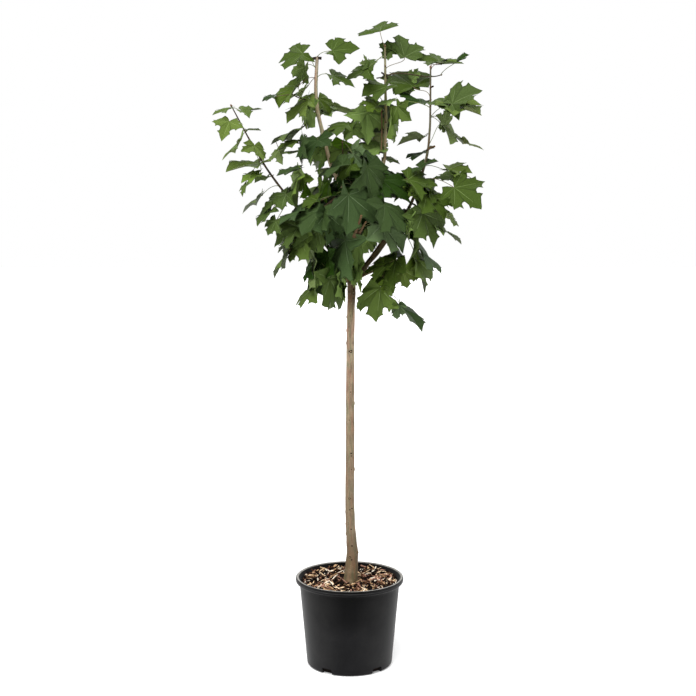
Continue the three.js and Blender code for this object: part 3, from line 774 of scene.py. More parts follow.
    (301.3, 174.5, 302.2, 191.7, 296, 192.2, 314.3, 179.2, 295.1, 177.9, 301.8, 168.7, -57, "y", "u", 7021),
    (317.4, 200.2, 302, 208.3, 307.6, 197.1, 309.3, 208.9, 318.6, 193, 319.7, 201.9, -147, "d", "u", 4270),
    # left low
    (276.3, 220.9, 267.8, 235.7, 265.1, 224.6, 281.5, 234, 272.3, 215.5, 282.3, 222.3, -119, "o", "u", 3691),
    (300.8, 211.2, 278.3, 225.6, 287.1, 217.6, 294.5, 221, 300, 204.4, 305.1, 210.6, -138, "e", "u", 4279),
    (298.2, 227.1, 274.2, 247.5, 281, 221.3, 287.6, 248.6, 301.1, 212, 302.4, 236.7, -119, "o", "u", 1451),
    (290.8, 241.2, 277.9, 253.1, 280.9, 243.3, 286.4, 253.4, 289, 235.4, 295.9, 242.5, -101, "s", "d", 6337),
    (288.9, 251.4, 274.3, 278.8, 280.4, 268.3, 285.2, 269, 290.3, 247.9, 292.3, 246.8, -88, "h", "d", 4693),
    (302.7, 238.3, 289.9, 263.2, 287.7, 255.1, 308.9, 259.8, 295.3, 231.8, 313.7, 235.8, -112, "h", "u", 6084),
    (317.8, 230.9, 316.7, 253, 293.2, 248.2, 322.6, 252.7, 307.1, 222.2, 332.2, 230.3, -157, "o", "u", 6163),
    # low left
    (315.8, 260.4, 310.1, 292.5, 310.2, 274.1, 315.6, 287.5, 308.9, 247.9, 317.1, 261.4, -104, "s", "u", 9275),
    (314.2, 287.5, 300.5, 308.8, 295.5, 306.6, 317.4, 303, 312.8, 289.1, 319.1, 285.1, -96, "h", "u", 4024),
    (329.7, 278.8, 327.5, 311, 321.6, 305, 340.7, 308.7, 313.2, 271.8, 340.1, 277.9, -157, "o", "u", 9484),
    (328.3, 257.2, 324.9, 287.8, 319.9, 277.3, 334.3, 275, 314.9, 252.4, 335.8, 248.6, -137, "k", "u", 8337),
    (345.8, 240.2, 331, 277.1, 334.9, 258.4, 353, 279.6, 337.6, 222.2, 367.7, 237.9, -156, "e", "u", 7627),
    (345.4, 287.3, 345.4, 303.6, 337.7, 294.5, 345.7, 298.2, 341.5, 282.5, 347.3, 286.5, -83, "g", "u", 5837),
    (359.6, 240.6, 357.6, 273.4, 345, 251.9, 363.9, 261.4, 351.8, 229.7, 368.1, 239, -128, "g", "u", 3119),
    (359.6, 262.2, 354, 287.7, 347.9, 275.9, 362, 279.8, 351.5, 254.8, 365, 262.4, -105, "g", "u", 870),
    # inner middle
    (330.7, 145.6, 317.6, 174.5, 319.1, 157.3, 342, 159.8, 319.8, 139.4, 353.8, 144.8, 22, "v", "u", 1698),
    (329, 181, 327.2, 203.9, 319, 191.8, 332.2, 195.1, 324.9, 175.8, 331.9, 180.1, 34, "v", "u", 1788),
    # between the sprays
    (391.1, 49.3, 382.2, 58.7, 378.7, 43.5, 388.1, 60.7, 388.3, 41.4, 399.2, 54, 36, "o", "u", 511),
    (422.2, 102.6, 396.1, 93.6, 411.2, 99.9, 402.5, 110.2, 430.1, 103.6, 424.3, 105.3, 1, "k", "u", 5944),
    (408.1, 85.4, 393.1, 94.3, 390, 84.3, 409.4, 95.3, 401.4, 80.5, 420.2, 90.6, 80, "g", "u", 8405),
    (304.3, 182, 310.2, 201.8, 300.3, 197.5, 306.6, 184.5, 301.5, 185, 305.2, 174.9, -49, "v", "u", 1752),
    (311.8, 266.8, 304.7, 282.6, 305, 274.9, 313.9, 278.8, 311.6, 259.2, 312, 266.5, -115, "k", "u", 653),
    (318.7, 273, 314.6, 295.2, 311.2, 277.5, 322.5, 284.9, 315.9, 265.7, 324.1, 274.3, -111, "g", "u", 8384),
    (363.5, 238, 372.9, 252.8, 363.3, 253.2, 377, 243.5, 354.5, 240.6, 367.5, 227.7, -95, "g", "u", 4879),
    (408.1, 188.9, 393.9, 202.3, 395.5, 197.5, 407.7, 200.4, 403.8, 185.6, 417.5, 192.1, -32, "y", "u", 720),
    (411.2, 214.6, 409.2, 240.5, 404.7, 229.4, 414.1, 230.5, 409, 210.5, 415.8, 211.6, -84, "g", "u", 2752),
    (365, 152.7, 370.5, 166.1, 360.7, 154.8, 379.1, 161.1, 351.7, 150.2, 371.1, 154.1, -99, "q", "u", 550),
    (273.4, 97.2, 262, 101.6, 266.7, 96, 266.5, 101, 275.6, 94.7, 274.3, 98.4, -50, "q", "u", 4765),
    (304.4, 139.1, 301.6, 163.8, 300.5, 146.9, 308, 157.6, 302.2, 133.1, 309.3, 141.1, -101, "b", "u", 7152),
    (456.9, 61.9, 469.6, 54.7, 462.7, 53.4, 465.4, 58.8, 454.1, 62.1, 455.9, 62.9, 59, "k", "u", 7171),
    (321.9, 143.7, 320.7, 165.1, 311.4, 150.1, 333, 155.1, 312.9, 138.8, 332.8, 141.5, -6, "g", "u", 2382),
    (345.7, 149.1, 330.3, 163.6, 327, 149.7, 342.8, 161.2, 341.1, 144, 355.1, 149.3, -19, "h", "u", 2016),
    (316.7, 148.1, 310.7, 166.1, 308.3, 159.5, 322, 160.8, 311.2, 145.4, 324.8, 146.6, -4, "g", "u", 8417),
    (321.6, 173.6, 321.1, 192, 318.4, 184, 323.6, 185.1, 318.8, 171.4, 322.2, 171.4, 20, "y", "u", 4832),
    (352.3, 265.5, 360.6, 293.2, 351, 283.7, 360.8, 278.5, 348, 262.4, 356.3, 260.1, -84, "g", "u", 2357),
    (339.6, 277.1, 341.9, 303, 335, 296, 342.8, 295.3, 336.2, 274.1, 343.9, 273.8, -84, "g", "u", 4413),
    (387.9, 263.9, 363.8, 273.3, 373.7, 262.2, 373.6, 282.3, 389.7, 254.9, 393, 270.5, -62, "y", "u", 9776),
    (384.8, 146.2, 373.8, 157.7, 374, 151.4, 379.4, 154.7, 383.8, 143.1, 388.2, 146.8, 44, "g", "u", 3450),
    (367.8, 66.7, 363.2, 54.1, 358.9, 62.8, 369.8, 59.5, 363.6, 69.1, 373.2, 65, 22, "s", "u", 6732),
]

placed = []  # (points, shape, normal, tone, base, tip direction, size)
ENDS = np.array([TIP, (-SIDE[0], SIDE[1]), SIDE, (-BASAL[0], BASAL[1]), BASAL]).T
TRUST = np.array([1.0, 1.0, 1.0, 0.35, 0.35])


def seen_leaf(row):
    """The leaf whose lobes fall where the row says: its true size is the longest stretch of the
    picture of its outline, and what is shorter than that is leaning away. Then each lobe bends a
    little, so that its tip comes where the row says."""
    spots = np.array(row[:12], float).reshape(6, 2)
    y, tone, face, seed = row[12:]
    own = random.Random(seed)
    shape = SHAPES[own.randrange(len(SHAPES))]
    bend = (own.uniform(0.04, 0.16), own.uniform(0.02, 0.10), own.uniform(0.02, 0.07), own.uniform(0, 6.28),
            own.uniform(-0.08, 0.08), own.uniform(0.0, 0.25))
    q = np.array([at(u, v, y) for u, v in spots])
    d = (q[1:] - q[0])[:, [0, 2]].T
    back = np.linalg.pinv(ENDS * TRUST)
    order = [0, 1, 2, 3, 4]
    a = (d * TRUST) @ back
    if (np.linalg.det(a) > 0) != (face == "u"):
        order = [0, 2, 1, 4, 3]
        a = (d[:, order] * TRUST) @ back
    u_, s_, vt = np.linalg.svd(a)
    size = s_[0]
    c = max(0.16, s_[1] / s_[0])
    flat = u_ @ np.diag([1.0, c]) @ vt  # x and z rows of the leaf's two directions
    deep = math.sqrt(max(0.0, 1 - c * c)) * vt[1]
    best = None
    for sgn in (1, -1):
        ex = np.array([flat[0, 0], sgn * deep[0], flat[1, 0]])
        ey = np.array([flat[0, 1], sgn * deep[1], flat[1, 1]])
        en = np.cross(ex, ey)
        if best is None or en[2] > best[2][2]:
            best = (unit(ex), unit(ey), unit(en))
    ex, ey, en = best
    pts = leaf_points(shape, q[0], size, ex, ey, en, bend)
    for _ in range(2):
        moved = pts.copy()
        for i, o in zip(shape.ends, order):
            move = at(*spots[1 + o], pts[i][1]) - pts[i]
            gap = (shape.turn - shape.turn[i] + math.pi) % (2 * math.pi) - math.pi
            w = np.exp(-((gap / 0.45) ** 2)) * np.minimum(1.0, shape.far / shape.far[i]) ** 1.5
            moved += w[:, None] * move
        pts = moved
    return pts, shape, en, tone, q[0], ey, size


for row in SPRAYS:
    placed.append(seen_leaf(row))

# The part of the front view that those leaves cover, and how near they are there.
nearest = np.full((696, 696), np.inf)
WEIGHTS = np.array([(a / 6, b / 6, (6 - a - b) / 6) for a in range(7) for b in range(7 - a)])


def mark(pts, shape):
    q = np.einsum("wk,tkd->twd", WEIGHTS, pts[shape.tris]).reshape(-1, 3)
    i = np.clip(front(q).round().astype(int), 0, 695)
    np.minimum.at(nearest, (i[:, 1], i[:, 0]), q[:, 1])


for pts, shape, *_ in placed:
    mark(pts, shape)
# the leaders show where they come before those leaves
for name, z0, z1 in (("left_leader", 1385, 1530), ("centre_leader", 1300, 1440), ("right_leader", 1330, 1500)):
    q = even(bough_lines[name], 1.0)
    q = q[(q[:, 2] > z0) & (q[:, 2] < z1)]
    for side in (-1, 0, 1):
        i = front(q).round().astype(int) + np.array([side, 0])
        np.minimum.at(nearest, (i[:, 1], i[:, 0]), q[:, 1])
# places between them that have no sky either
INNER = [(335, 188, 7, 14), (347, 181, 5, 7), (319, 179, 4, 6), (315, 160, 4, 6), (399, 203, 5, 4), (364, 225, 5, 9),
         (382, 130, 4, 4), (300, 197, 3, 4), (313, 169, 5, 3), (351, 282, 9, 6), (356, 53, 4, 4), (404, 59, 3, 2)]
vv, uu = np.mgrid[0:696, 0:696]
allowed = np.isfinite(nearest)
for u, v, a, b in INNER:
    allowed |= ((uu - u) / a) ** 2 + ((vv - v) / b) ** 2 < 1
# and small gaps that stay open
OPEN = [(297, 146, 4, 7), (353, 139, 4, 5), (340, 135, 6, 3), (326, 247, 3, 4), (314, 179, 4, 4), (389, 201, 4, 3),
        (306, 163, 4, 6), (301, 193, 4, 3), (303, 199, 3, 3), (326, 165, 3, 3), (331, 136, 4, 3), (379, 245, 4, 4),
        (387, 250, 4, 5), (367, 257, 5, 4), (366, 278, 3, 7), (358, 293, 4, 5), (408, 247, 5, 8), (404, 203, 4, 4),
        (427, 177, 5, 4), (281, 211, 5, 3), (270, 207, 5, 3), (432, 168, 7, 6)]
gaps = np.zeros((696, 696), bool)
for u, v, a, b in OPEN:
    gaps |= ((uu - u) / a) ** 2 + ((vv - v) / b) ** 2 < 1
gaps &= ~np.isfinite(nearest)

# Leaf pieces, and the CAD masses that each of them replaces.
GROUPS = {
    "leaves_left": ["leaves_left_spray_tip", "leaves_left_spray", "leaves_left_spray_foot", "leaves_left_upper",
                    "leaves_left_middle", "leaves_left_low", "leaves_low_left", "leaves_top_left"],
    "leaves_right": ["leaves_right_top", "leaves_right_tail", "leaves_right_big", "leaves_hanging_right",
                     "leaves_right_inner", "leaves_right_middle", "leaves_right_low", "leaves_low_right",
                     "leaves_top_right"],
    "leaves_middle_sprays": ["leaves_top", "leaves_top_middle", "leaves_front_middle", "leaves_front_top",
                             "leaves_centre_top", "leaves_middle"],
    "leaves_back": ["leaves_back_left", "leaves_back_right", "leaves_back_middle", "leaves_back_top", "leaves_back_low"],
}

# ------------------------------------------------------------------ leaves of the rest of the head
# Leaves are strewn through each mass that the CAD has, hanging outwards. One stays only where the
# front view has leaves before it, so that the open places stay open, and not too near another.
HEAD = np.array([0.0, 10.0, 1185.0])
rng = random.Random(71)
lo_box, hi_box = (np.array(q) / MM for q in cad_box)
middles = [p[0].mean(0) for p in placed]


def hidden(pts, shape):
    """Whether a leaf keeps to the covered part of the front view, behind the leaves seen there."""
    i = np.clip(front(pts).round().astype(int), 0, 695)
    near = nearest[i[:, 1], i[:, 0]]
    back = (pts[:, 1] > near + 4) | np.isinf(near)
    rim = np.unique(shape.rim)
    if allowed[i[rim, 1], i[rim, 0]].mean() < 0.96 or back.mean() < 0.97:
        return False
    q = np.einsum("wk,tkd->twd", WEIGHTS, pts[shape.tris]).reshape(-1, 3)
    i = np.clip(front(q).round().astype(int), 0, 695)
    return not gaps[i[:, 1], i[:, 0]].any()


def strewn_leaf(centre, half, room, tries=30):
    for k in range(tries):
        w = unit([rng.gauss(0, 1) for _ in range(3)])
        spot = centre + half * w * rng.uniform(0.3, 0.92)
        away = (spot - HEAD) * np.array([1.0, 1.0, 0.5])
        out = unit(unit(away) + np.array([rng.uniform(-0.6, 0.6), rng.uniform(-0.6, 0.6), -rng.uniform(0.15, 1.0)]))
        up = np.array([rng.uniform(-0.35, 0.35), rng.uniform(-0.35, 0.35), 0.8]) + 0.6 * unit(away)
        ex = unit(np.cross(out, up))
        en = unit(np.cross(ex, out))
        size = rng.uniform(50, 80)
        shape = SHAPES[rng.randrange(len(SHAPES))]
        bend = (rng.uniform(0.04, 0.20), rng.uniform(0.04, 0.22), rng.uniform(0.02, 0.08), rng.uniform(0, 6.28),
                rng.uniform(-0.1, 0.1), rng.uniform(0.0, 0.3))
        base = spot - out * 0.4 * size
        pts = leaf_points(shape, base, size, ex, out, en, bend)
        if (pts.min(0) < lo_box - 8).any() or (pts.max(0) > hi_box + 8).any():
            continue
        mid = pts.mean(0)
        if min(np.linalg.norm(mid - q) for q in middles) < room:
            continue
        if hidden(pts, shape):
            return pts, shape, en, base, out, size
    return None


MASSES = []  # (centre, half size, tries, room)
for names in GROUPS.values():
    for name in names:
        lo, hi = (np.array(q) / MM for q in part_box(name))
        MASSES.append(((lo + hi) / 2, (hi - lo) / 2, *((80, 33.0) if name in GROUPS["leaves_back"] else (18, 31.0))))
# and round the foot of the boughs, where the masses meet
for centre, half in (((10, 40, 1085), (110, 60, 75)), ((-70, 45, 1120), (100, 70, 90)), ((90, 45, 1120), (100, 70, 90)),
                     ((10, 70, 1180), (150, 60, 80))):
    MASSES.append((np.array(centre, float), np.array(half, float), 26, 31.0))
for centre, half, tries, room in MASSES:
    for _ in range(tries):
        got = strewn_leaf(centre, half, room)
        if got is None:
            continue
        pts, shape, en, base, out, size = got
        middles.append(pts.mean(0))
        edge = np.linalg.norm((pts.mean(0) - HEAD) / np.array([330, 270, 420]))
        # painted shade: leaves deep in the head take only the darkest tones; outer ones take paler tones, and those
        # above 1150 mm a paler mix still
        if edge > 0.62:
            tone = rng.choice("oohnhlysd" if pts[:, 2].mean() > 1150 else "ohnhdbeo")
        else:
            tone = rng.choice("kkkqbe")
        placed.append((pts, shape, en, tone, base, out, size))

# ------------------------------------------------------------------ leaf stalks, and twigs out to the leaves
# Where the stalk of a leaf leaves the wood in the front view, for those that show against the sky.
FEET = {27: (321, 57), 28: (317.5, 80), 19: (314.5, 70), 22: (313, 93), 31: (385, 42), 32: (386, 70), 33: (432, 70),
        35: (429, 98), 46: (430, 117), 48: (433, 145), 10: (280, 186), 50: (430, 117)}


def bow(a, b, c, d, n):
    """A smooth line from a to d."""
    u = np.linspace(0, 1, n)[:, None]
    return (1 - u) ** 3 * a + 3 * (1 - u) ** 2 * u * b + 3 * (1 - u) * u * u * c + u**3 * d


def stalk_line(base, ey, foot, tangent, rise=0.55):
    """From the leaf's base back to the wood."""
    gap = np.linalg.norm(base - foot)
    lead = unit(base - foot)
    side = unit(lead - tangent * (lead @ tangent)) if np.linalg.norm(np.cross(lead, tangent)) > 0.1 else lead
    p1 = base + unit(-ey + np.array([0, 0.9 if base[1] < -95 else 0.2, 0])) * gap * 0.34
    p2 = foot + unit(side + rise * tangent + 0.2 * np.array([0, 0, 1.0])) * gap * 0.34
    return bow(base, p1, p2, foot, 10)


def twig_line(base, ey, foot, tangent):
    """From the wood out to a little behind the leaf's base."""
    goal = base - ey * 48 + np.array([0, 8.0, -6.0])
    gap = np.linalg.norm(goal - foot)
    return bow(foot, foot + unit(unit(goal - foot) + 0.5 * tangent) * gap * 0.33, goal - unit(goal - foot + np.array([0, 0, 0.3 * gap])) * gap * 0.33,
               goal, max(4, int(gap / 8)))


def sky(line):
    """How much of a line shows against the sky in the front view."""
    i = np.clip(front(line).round().astype(int), 0, 695)
    return 1 - allowed[i[:, 1], i[:, 0]].mean()


def across(line):
    """How much of a line passes before the leaves seen from the front."""
    i = np.clip(front(line).round().astype(int), 0, 695)
    near = nearest[i[:, 1], i[:, 0]]
    return (np.isfinite(near) & (line[:, 1] < near - 2)).mean()


rng = random.Random(8)
seen_count = len(SPRAYS)
bases = np.array([p[4] for p in placed])
behind = np.array([p[4] - p[5] * 45 for p in placed])
best_d = np.full(len(placed), 1e9)
REACH = 112.0


def look(start):
    """Tells every waiting leaf about the wood grown since `start`."""
    q = wood.p[start:]
    d = np.linalg.norm(behind[:, None] - q, axis=2) + 0.5 * np.linalg.norm(bases[:, None] - q, axis=2)
    np.minimum(best_d, d.min(1), out=best_d)


look(0)
limb_count = len(wood.p)
left_over = set(range(len(placed)))
tips, bare = [], set()
while left_over:
    k = min(left_over, key=lambda q: best_d[q])
    left_over.remove(k)
    base, ey = bases[k], placed[k][5]
    d = np.linalg.norm(wood.p - behind[k], axis=1) + 0.5 * np.linalg.norm(wood.p - base, axis=1)
    if k in FEET:
        ways = [int(np.hypot(*(front(wood.p[:limb_count]) - FEET[k]).T).argmin())]
    else:
        ways = np.argsort(d)[:150:5]
    best = None
    for i in ways:  # of the nearer places on the wood, the one whose way is best hidden
        foot, tangent, twig = wood.p[i], wood.t[i], None
        if np.linalg.norm(base - foot) > REACH:
            twig = twig_line(base, ey, foot, tangent)
            foot, tangent = twig[-1], unit(twig[-1] - twig[-2])
        line = stalk_line(base, ey, foot, tangent, 1.2 if k in FEET else 0.55)
        way = line if twig is None else np.vstack([twig, line])
        open_ = sky(way)
        cost = d[i] * (1 + 9.0 * open_ + 2.0 * across(way))
        if best is None or cost < best[0]:
            best = (cost, i, twig, line, open_)
    _, i, twig, line, open_ = best
    if k >= seen_count and open_ > 0.08:  # no hidden way to it
        bare.add(k)
        continue
    if twig is not None:
        rad = np.linspace(min(2.5, 0.75 * wood.r[i]), 1.3, len(twig))
        tube(twigs, twig, rad, 7, twig_bark, None, 0.12, twig[0][0])
        start = len(wood.p)
        wood.grow(twig[2:], rad[2:])
        look(start)
        tips.append((twig[-1], unit(twig[-1] - twig[-2])))
    u = np.linspace(1, 0, len(line))
    r = 0.80 + 0.22 * np.abs(2 * u - 1) ** 3 + 0.5 * np.exp(-((u / 0.07) ** 2))
    tube(stalks, line, r, 5, stalk_mats[0 if rng.random() < 0.6 else rng.randrange(1, 3)])
placed = [p for k, p in enumerate(placed) if k not in bare]

# ------------------------------------------------------------------ leaves into pieces
centres, owner = [], []
for group, names in GROUPS.items():
    for n in names:
        lo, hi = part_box(n)
        centres.append((np.array(lo) + np.array(hi)) / 2 / MM)
        owner.append(group)
centres = np.array(centres)
leaf_pieces = {g: Piece(g) for g in GROUPS}
for pts, shape, en, tone, *_ in placed:
    g = owner[int(np.linalg.norm(centres - pts.mean(0), axis=1).argmin())]
    add_leaf(leaf_pieces[g], shape, pts, en, tone)
for g, names in GROUPS.items():
    leaf_pieces[g].build(slot="leaf", replaces=names)

# ------------------------------------------------------------------ stem
# Bud scars and stubs, by their place in the front view and their size.
SCARS = [
    (350.7, 351.4, 4.0), (351.2, 453.3, 2.2), (351.3, 455.9, 1.7), (351.4, 469.4, 1.4), (349.5, 498.4, 2.9),
    (352.0, 508.4, 2.0), (349.8, 509.6, 1.8), (351.1, 529.0, 1.9), (352.0, 545.5, 2.0), (350.0, 556.8, 3.0),
    (351.7, 559.2, 1.8), (350.5, 392.0, 1.3), (349.5, 420.0, 1.2), (353.3, 289.5, 2.0), (353.5, 294.0, 2.2),
    (353.1, 298.3, 1.7), (349.2, 292.0, 1.5),
]
STUBS = [(346.9, 330.5), (354.5, 403.5), (354.8, 469.4), (345.9, 511.7), (346.0, 533.8), (357.8, 552.2)]
stem = Piece("stem")
sides, rings = 44, 320
bumps, patches = [], []
for u, v in STUBS:
    q = at(u, v, -5.0)
    x, r = stem_at(q[2])
    bumps.append((q[2], math.asin(np.clip((q[0] - x) / r, -0.96, 0.96)), 2.4, 4.2, 0.22))
for u, v, size in SCARS:
    q = at(u, v, -10.0)
    x, r = stem_at(q[2])
    phi = math.asin(np.clip((q[0] - x) / r, -0.95, 0.95))
    bumps.append((q[2], phi, 0.25 * size, 1.6 * size, 1.6 * size / r))
    patches.append((q[2], phi, size))
# more of the same round the back
rng = random.Random(5)
for k in range(10):
    z = 290 + 70 * k + rng.uniform(-20, 20)
    phi = math.pi + rng.uniform(-1.3, 1.3)
    size = rng.uniform(1.5, 3.4)
    bumps.append((z, phi, rng.uniform(0.6, 2.4), 5.0, 0.3))
    patches.append((z, phi, size))
zs = np.concatenate([np.linspace(206, 320, 70, endpoint=False), np.linspace(320, 1009.2, rings - 70)])


def stem_point(z, phi):
    x, r = stem_at(min(z, 1000))
    low = max(0.0, 1 - (z - 206) / 62)
    r *= 1 + 0.06 * low**2 + 0.06 * low * math.sin(3 * phi + 0.6) + 0.04 * low * math.sin(5 * phi + 2.0)
    r *= 1 + 0.08 * math.exp(-(((z - 969) / 14) ** 2)) + 0.12 * math.exp(-(((z - 997) / 15) ** 2))
    r += 0.32 * noise.noise(Vector((math.cos(phi) * 1.6, math.sin(phi) * 1.6, z * 0.030)))
    r += 0.20 * noise.noise(Vector((math.cos(phi) * 6, math.sin(phi) * 6, z * 0.016 + 9)))
    rough = max(0.0, 1 - abs(z - 985) / 45) + 0.7 * low
    if rough:
        r += rough * 0.9 * noise.noise(Vector((math.cos(phi) * 3.1, math.sin(phi) * 3.1, z * 0.11 + 4)))
    if low:
        r += low * 0.8 * noise.noise(Vector((math.cos(phi) * 6.5, math.sin(phi) * 6.5, z * 0.36 + 2)))
    for bz, bp, h, sz, sp in bumps:
        dz = (z - bz) / sz
        if abs(dz) < 3:
            dp = (phi - bp + math.pi) % (2 * math.pi) - math.pi
            r += h * math.exp(-dz * dz - (dp / sp) ** 2)
    if z > 1000:
        r *= math.sqrt(max(0.02, 1 - ((z - 1000) / 9.3) ** 2))
    return np.array([x + r * math.sin(phi), -r * math.cos(phi), z])


phis = np.arange(sides) * 2 * math.pi / sides
v = np.array([[stem_point(z, f) for f in phis] for z in zs])
n = len(zs)
i, k = np.meshgrid(np.arange(n - 1), np.arange(sides), indexing="ij")
k2 = (k + 1) % sides
quads = np.stack([i * sides + k, i * sides + k2, (i + 1) * sides + k2, (i + 1) * sides + k], -1).reshape(-1, 4)
verts = np.vstack([v.reshape(-1, 3), [[stem_at(206)[0], 0, 206]], [[4.8, 0, 1009.4]]])
stem.add(verts, quads, stem_bark)
k = np.arange(sides)
stem.more(np.stack([np.full(sides, n * sides), (k + 1) % sides, k], 1), stem_bark, True, len(verts))
e = (n - 1) * sides
stem.more(np.stack([np.full(sides, n * sides + 1), e + k, e + (k + 1) % sides], 1), stem_bark, True, len(verts))
stem.build(slot="stem_bark", replaces=["trunk"])

scars = Piece("bud_scars")
for z, phi, size in patches:
    _, r = stem_at(z)
    outward = np.array([math.sin(phi), -math.cos(phi), 0])
    pts = [stem_point(z, phi) + outward * 0.45]
    size *= 1.25
    for lift, grow in ((0.4, 0.35), (0.55, 0.65), (-0.3, 1.0)):
        for k in range(12):
            a = k * math.pi / 6
            rr = size * grow * (1 + 0.18 * math.sin(3 * a + z))
            q = stem_point(z + 0.85 * rr * math.sin(a), phi + rr * math.cos(a) / r)
            pts.append(q + outward * lift)
    scars.add(np.array(pts), [(0, 1 + k, 1 + (k + 1) % 12) for k in range(12)], heart_mat if size > 3.5 else scar_mat)
    k = np.arange(12)
    k2 = (k + 1) % 12
    for ring in (1, 13):
        scars.more(np.stack([ring + k, ring + 12 + k, ring + 12 + k2, ring + k2], 1), scar_mat, True, len(pts))
scars.build(slot="stem_bark")

# ------------------------------------------------------------------ broken twig ends in the head
for a, b, r0, r1, m in (((354, 237, -200), (361.4, 215.5, -236), 4.6, 2.4, stub_bark),
                        ((357, 237, -200), (366, 221.8, -238), 4.2, 1.6, stub_bark),
                        ((427, 150, -40), (434.8, 146.3, -52), 3.0, 2.6, stub_bark),
                        ((381.2, 152, 10), (381.5, 108, 22), 2.2, 1.9, barks["tan"]),
                        ((311.6, 58.9, -14), (321.6, 58.3, -14), 3.4, 3.8, knot_bark),
                        ((376.4, 78.2, 24), (388.2, 78.0, 26), 1.5, 1.9, knot_bark),
                        ((385.4, 77.6, 26), (381.4, 72.4, 22), 1.9, 2.2, knot_bark),
                        ((385.6, 77.4, 26), (387.4, 74.4, 22), 1.7, 1.9, knot_bark),
                        ((429.8, 88.4, -42), (433.4, 86.2, -46), 2.1, 2.4, knot_bark)):
    line = even(np.array([at(*a), (at(*a) + at(*b)) / 2 + np.array([1.5, 0, 2.0]), at(*b)]), 6.0)
    tube(twigs, line, np.linspace(r0, r1, len(line)), 9, m, m if m is knot_bark else cut_mat, 0.22, a[0])

# buds along the shoots' ends
rng = random.Random(12)


def bud(p, way, size):
    t = unit(way)
    line = np.array([p + t * size * f for f in (0, 0.25, 0.55, 0.8, 1.0)])
    tube(buds, line, np.array([0.30, 0.42, 0.36, 0.2, 0.04]) * size, 7, bud_mat)


for tip, way in tips:
    bud(tip, way, rng.uniform(4.5, 6.5))
for name in ("centre_leader", "right_leader", "left_shoot"):
    ln = bough_lines[name]
    t, a, b = frames(ln)
    bud(ln[-1], t[-1], 7.0)
    for f in (0.55, 0.68, 0.8, 0.91):
        i = int(len(ln) * f)
        for sgn in (1, -1):
            bud(ln[i] + sgn * a[i] * 1.5, sgn * a[i] + 0.9 * t[i], rng.uniform(4, 5.5))

boughs.build(slot="bough_bark", replaces=list(BOUGHS))
twigs.build(slot="bough_bark")
buds.build(slot="bough_bark")
stalks.build(slot="leaf")

# ------------------------------------------------------------------ container
POT_H, SEG = 232.0, 180


def wall(z):
    return 110.4 + 19.5 * z / 218.0


profile = [(0, 0), (60, 0), (96, 0), (103.4, 0.2)]
for k in range(1, 9):
    a = k / 8 * math.pi / 2
    profile.append((103.4 + 7.6 * math.sin(a), 7.6 - 7.4 * math.cos(a)))
for z in np.linspace(14, 208, 26):
    profile.append((wall(z), z))
profile += [(wall(212) + 0.3, 212), (wall(215) + 1.2, 215.2), (131.8, 216.8), (134.2, 217.9), (137.2, 218.7),
            (138.9, 219.8), (139.7, 221.6), (139.9, 223.9), (140.1, 225.0), (139.9, 226.1), (139.7, 228.4), (139.0, 230.5), (137.6, 231.6), (136.4, 231.9),
            (134.6, 231.9), (133.2, 231.4), (132.0, 229.8), (131.2, 226.0), (129.6, 221.0), (127.9, 214.0)]
for z in np.linspace(205, 12, 14):
    profile.append((wall(z) - 2.2, z))
profile += [(100, 4.5), (60, 3.2), (0, 3.2)]
pot = Piece("pot_body")
rz = np.array(profile)
turn = np.arange(SEG) * 2 * math.pi / SEG
inner = rz[1:-1]
v = np.stack([inner[:, :1] * np.cos(turn), inner[:, :1] * np.sin(turn), np.repeat(inner[:, 1:], SEG, 1)], -1)
n = len(inner)
i, k = np.meshgrid(np.arange(n - 1), np.arange(SEG), indexing="ij")
k2 = (k + 1) % SEG
quads = np.stack([i * SEG + k, i * SEG + k2, (i + 1) * SEG + k2, (i + 1) * SEG + k], -1).reshape(-1, 4)
verts = np.vstack([v.reshape(-1, 3), [[0, 0, rz[0, 1]]], [[0, 0, rz[-1, 1]]]])

pot_mat = material("pot_plastic", lin(20, 20, 21), 0.40, 0.04)
nt, p = nodes_of(pot_mat)
p.inputs["Sheen Weight"].default_value = 0.07
p.inputs["Sheen Roughness"].default_value = 0.45
dust_and_sheen_noise = tex_noise(nt, 14.0, 8.0, 0.65, 0.3)
fine = tex_noise(nt, 420.0, 3.0, 0.6)
scuff = tex_noise(nt, 70.0, 8.0, 0.7, 1.2, (1.0, 1.0, 5.0))
c1 = ramp(nt, dust_and_sheen_noise, [(0.3, lin(13, 13, 14)), (0.62, lin(19, 19, 20)), (0.85, lin(30, 29, 28))])
c2 = mix(nt, ramp(nt, scuff, [(0.60, (0,) * 3), (0.74, (0.25,) * 3)]), c1, lin(44, 43, 41))
# painted shade: the base colour is multiplied down towards the rim, for the dark reflection on the upper wall, and up
# near the foot
tc = nt.nodes.new("ShaderNodeTexCoord")
sep = nt.nodes.new("ShaderNodeSeparateXYZ")
nt.links.new(tc.outputs["Object"], sep.inputs[0])
mr = nt.nodes.new("ShaderNodeMapRange")
mr.inputs["From Max"].default_value = 0.24
nt.links.new(sep.outputs["Z"], mr.inputs["Value"])
c3 = mix(nt, 1.0, c2, ramp(nt, mr.outputs["Result"], [(0.10, (1.35,) * 3), (0.42, (1.2,) * 3), (0.62, (0.5,) * 3), (0.85, (0.25,) * 3)]), "MULTIPLY")
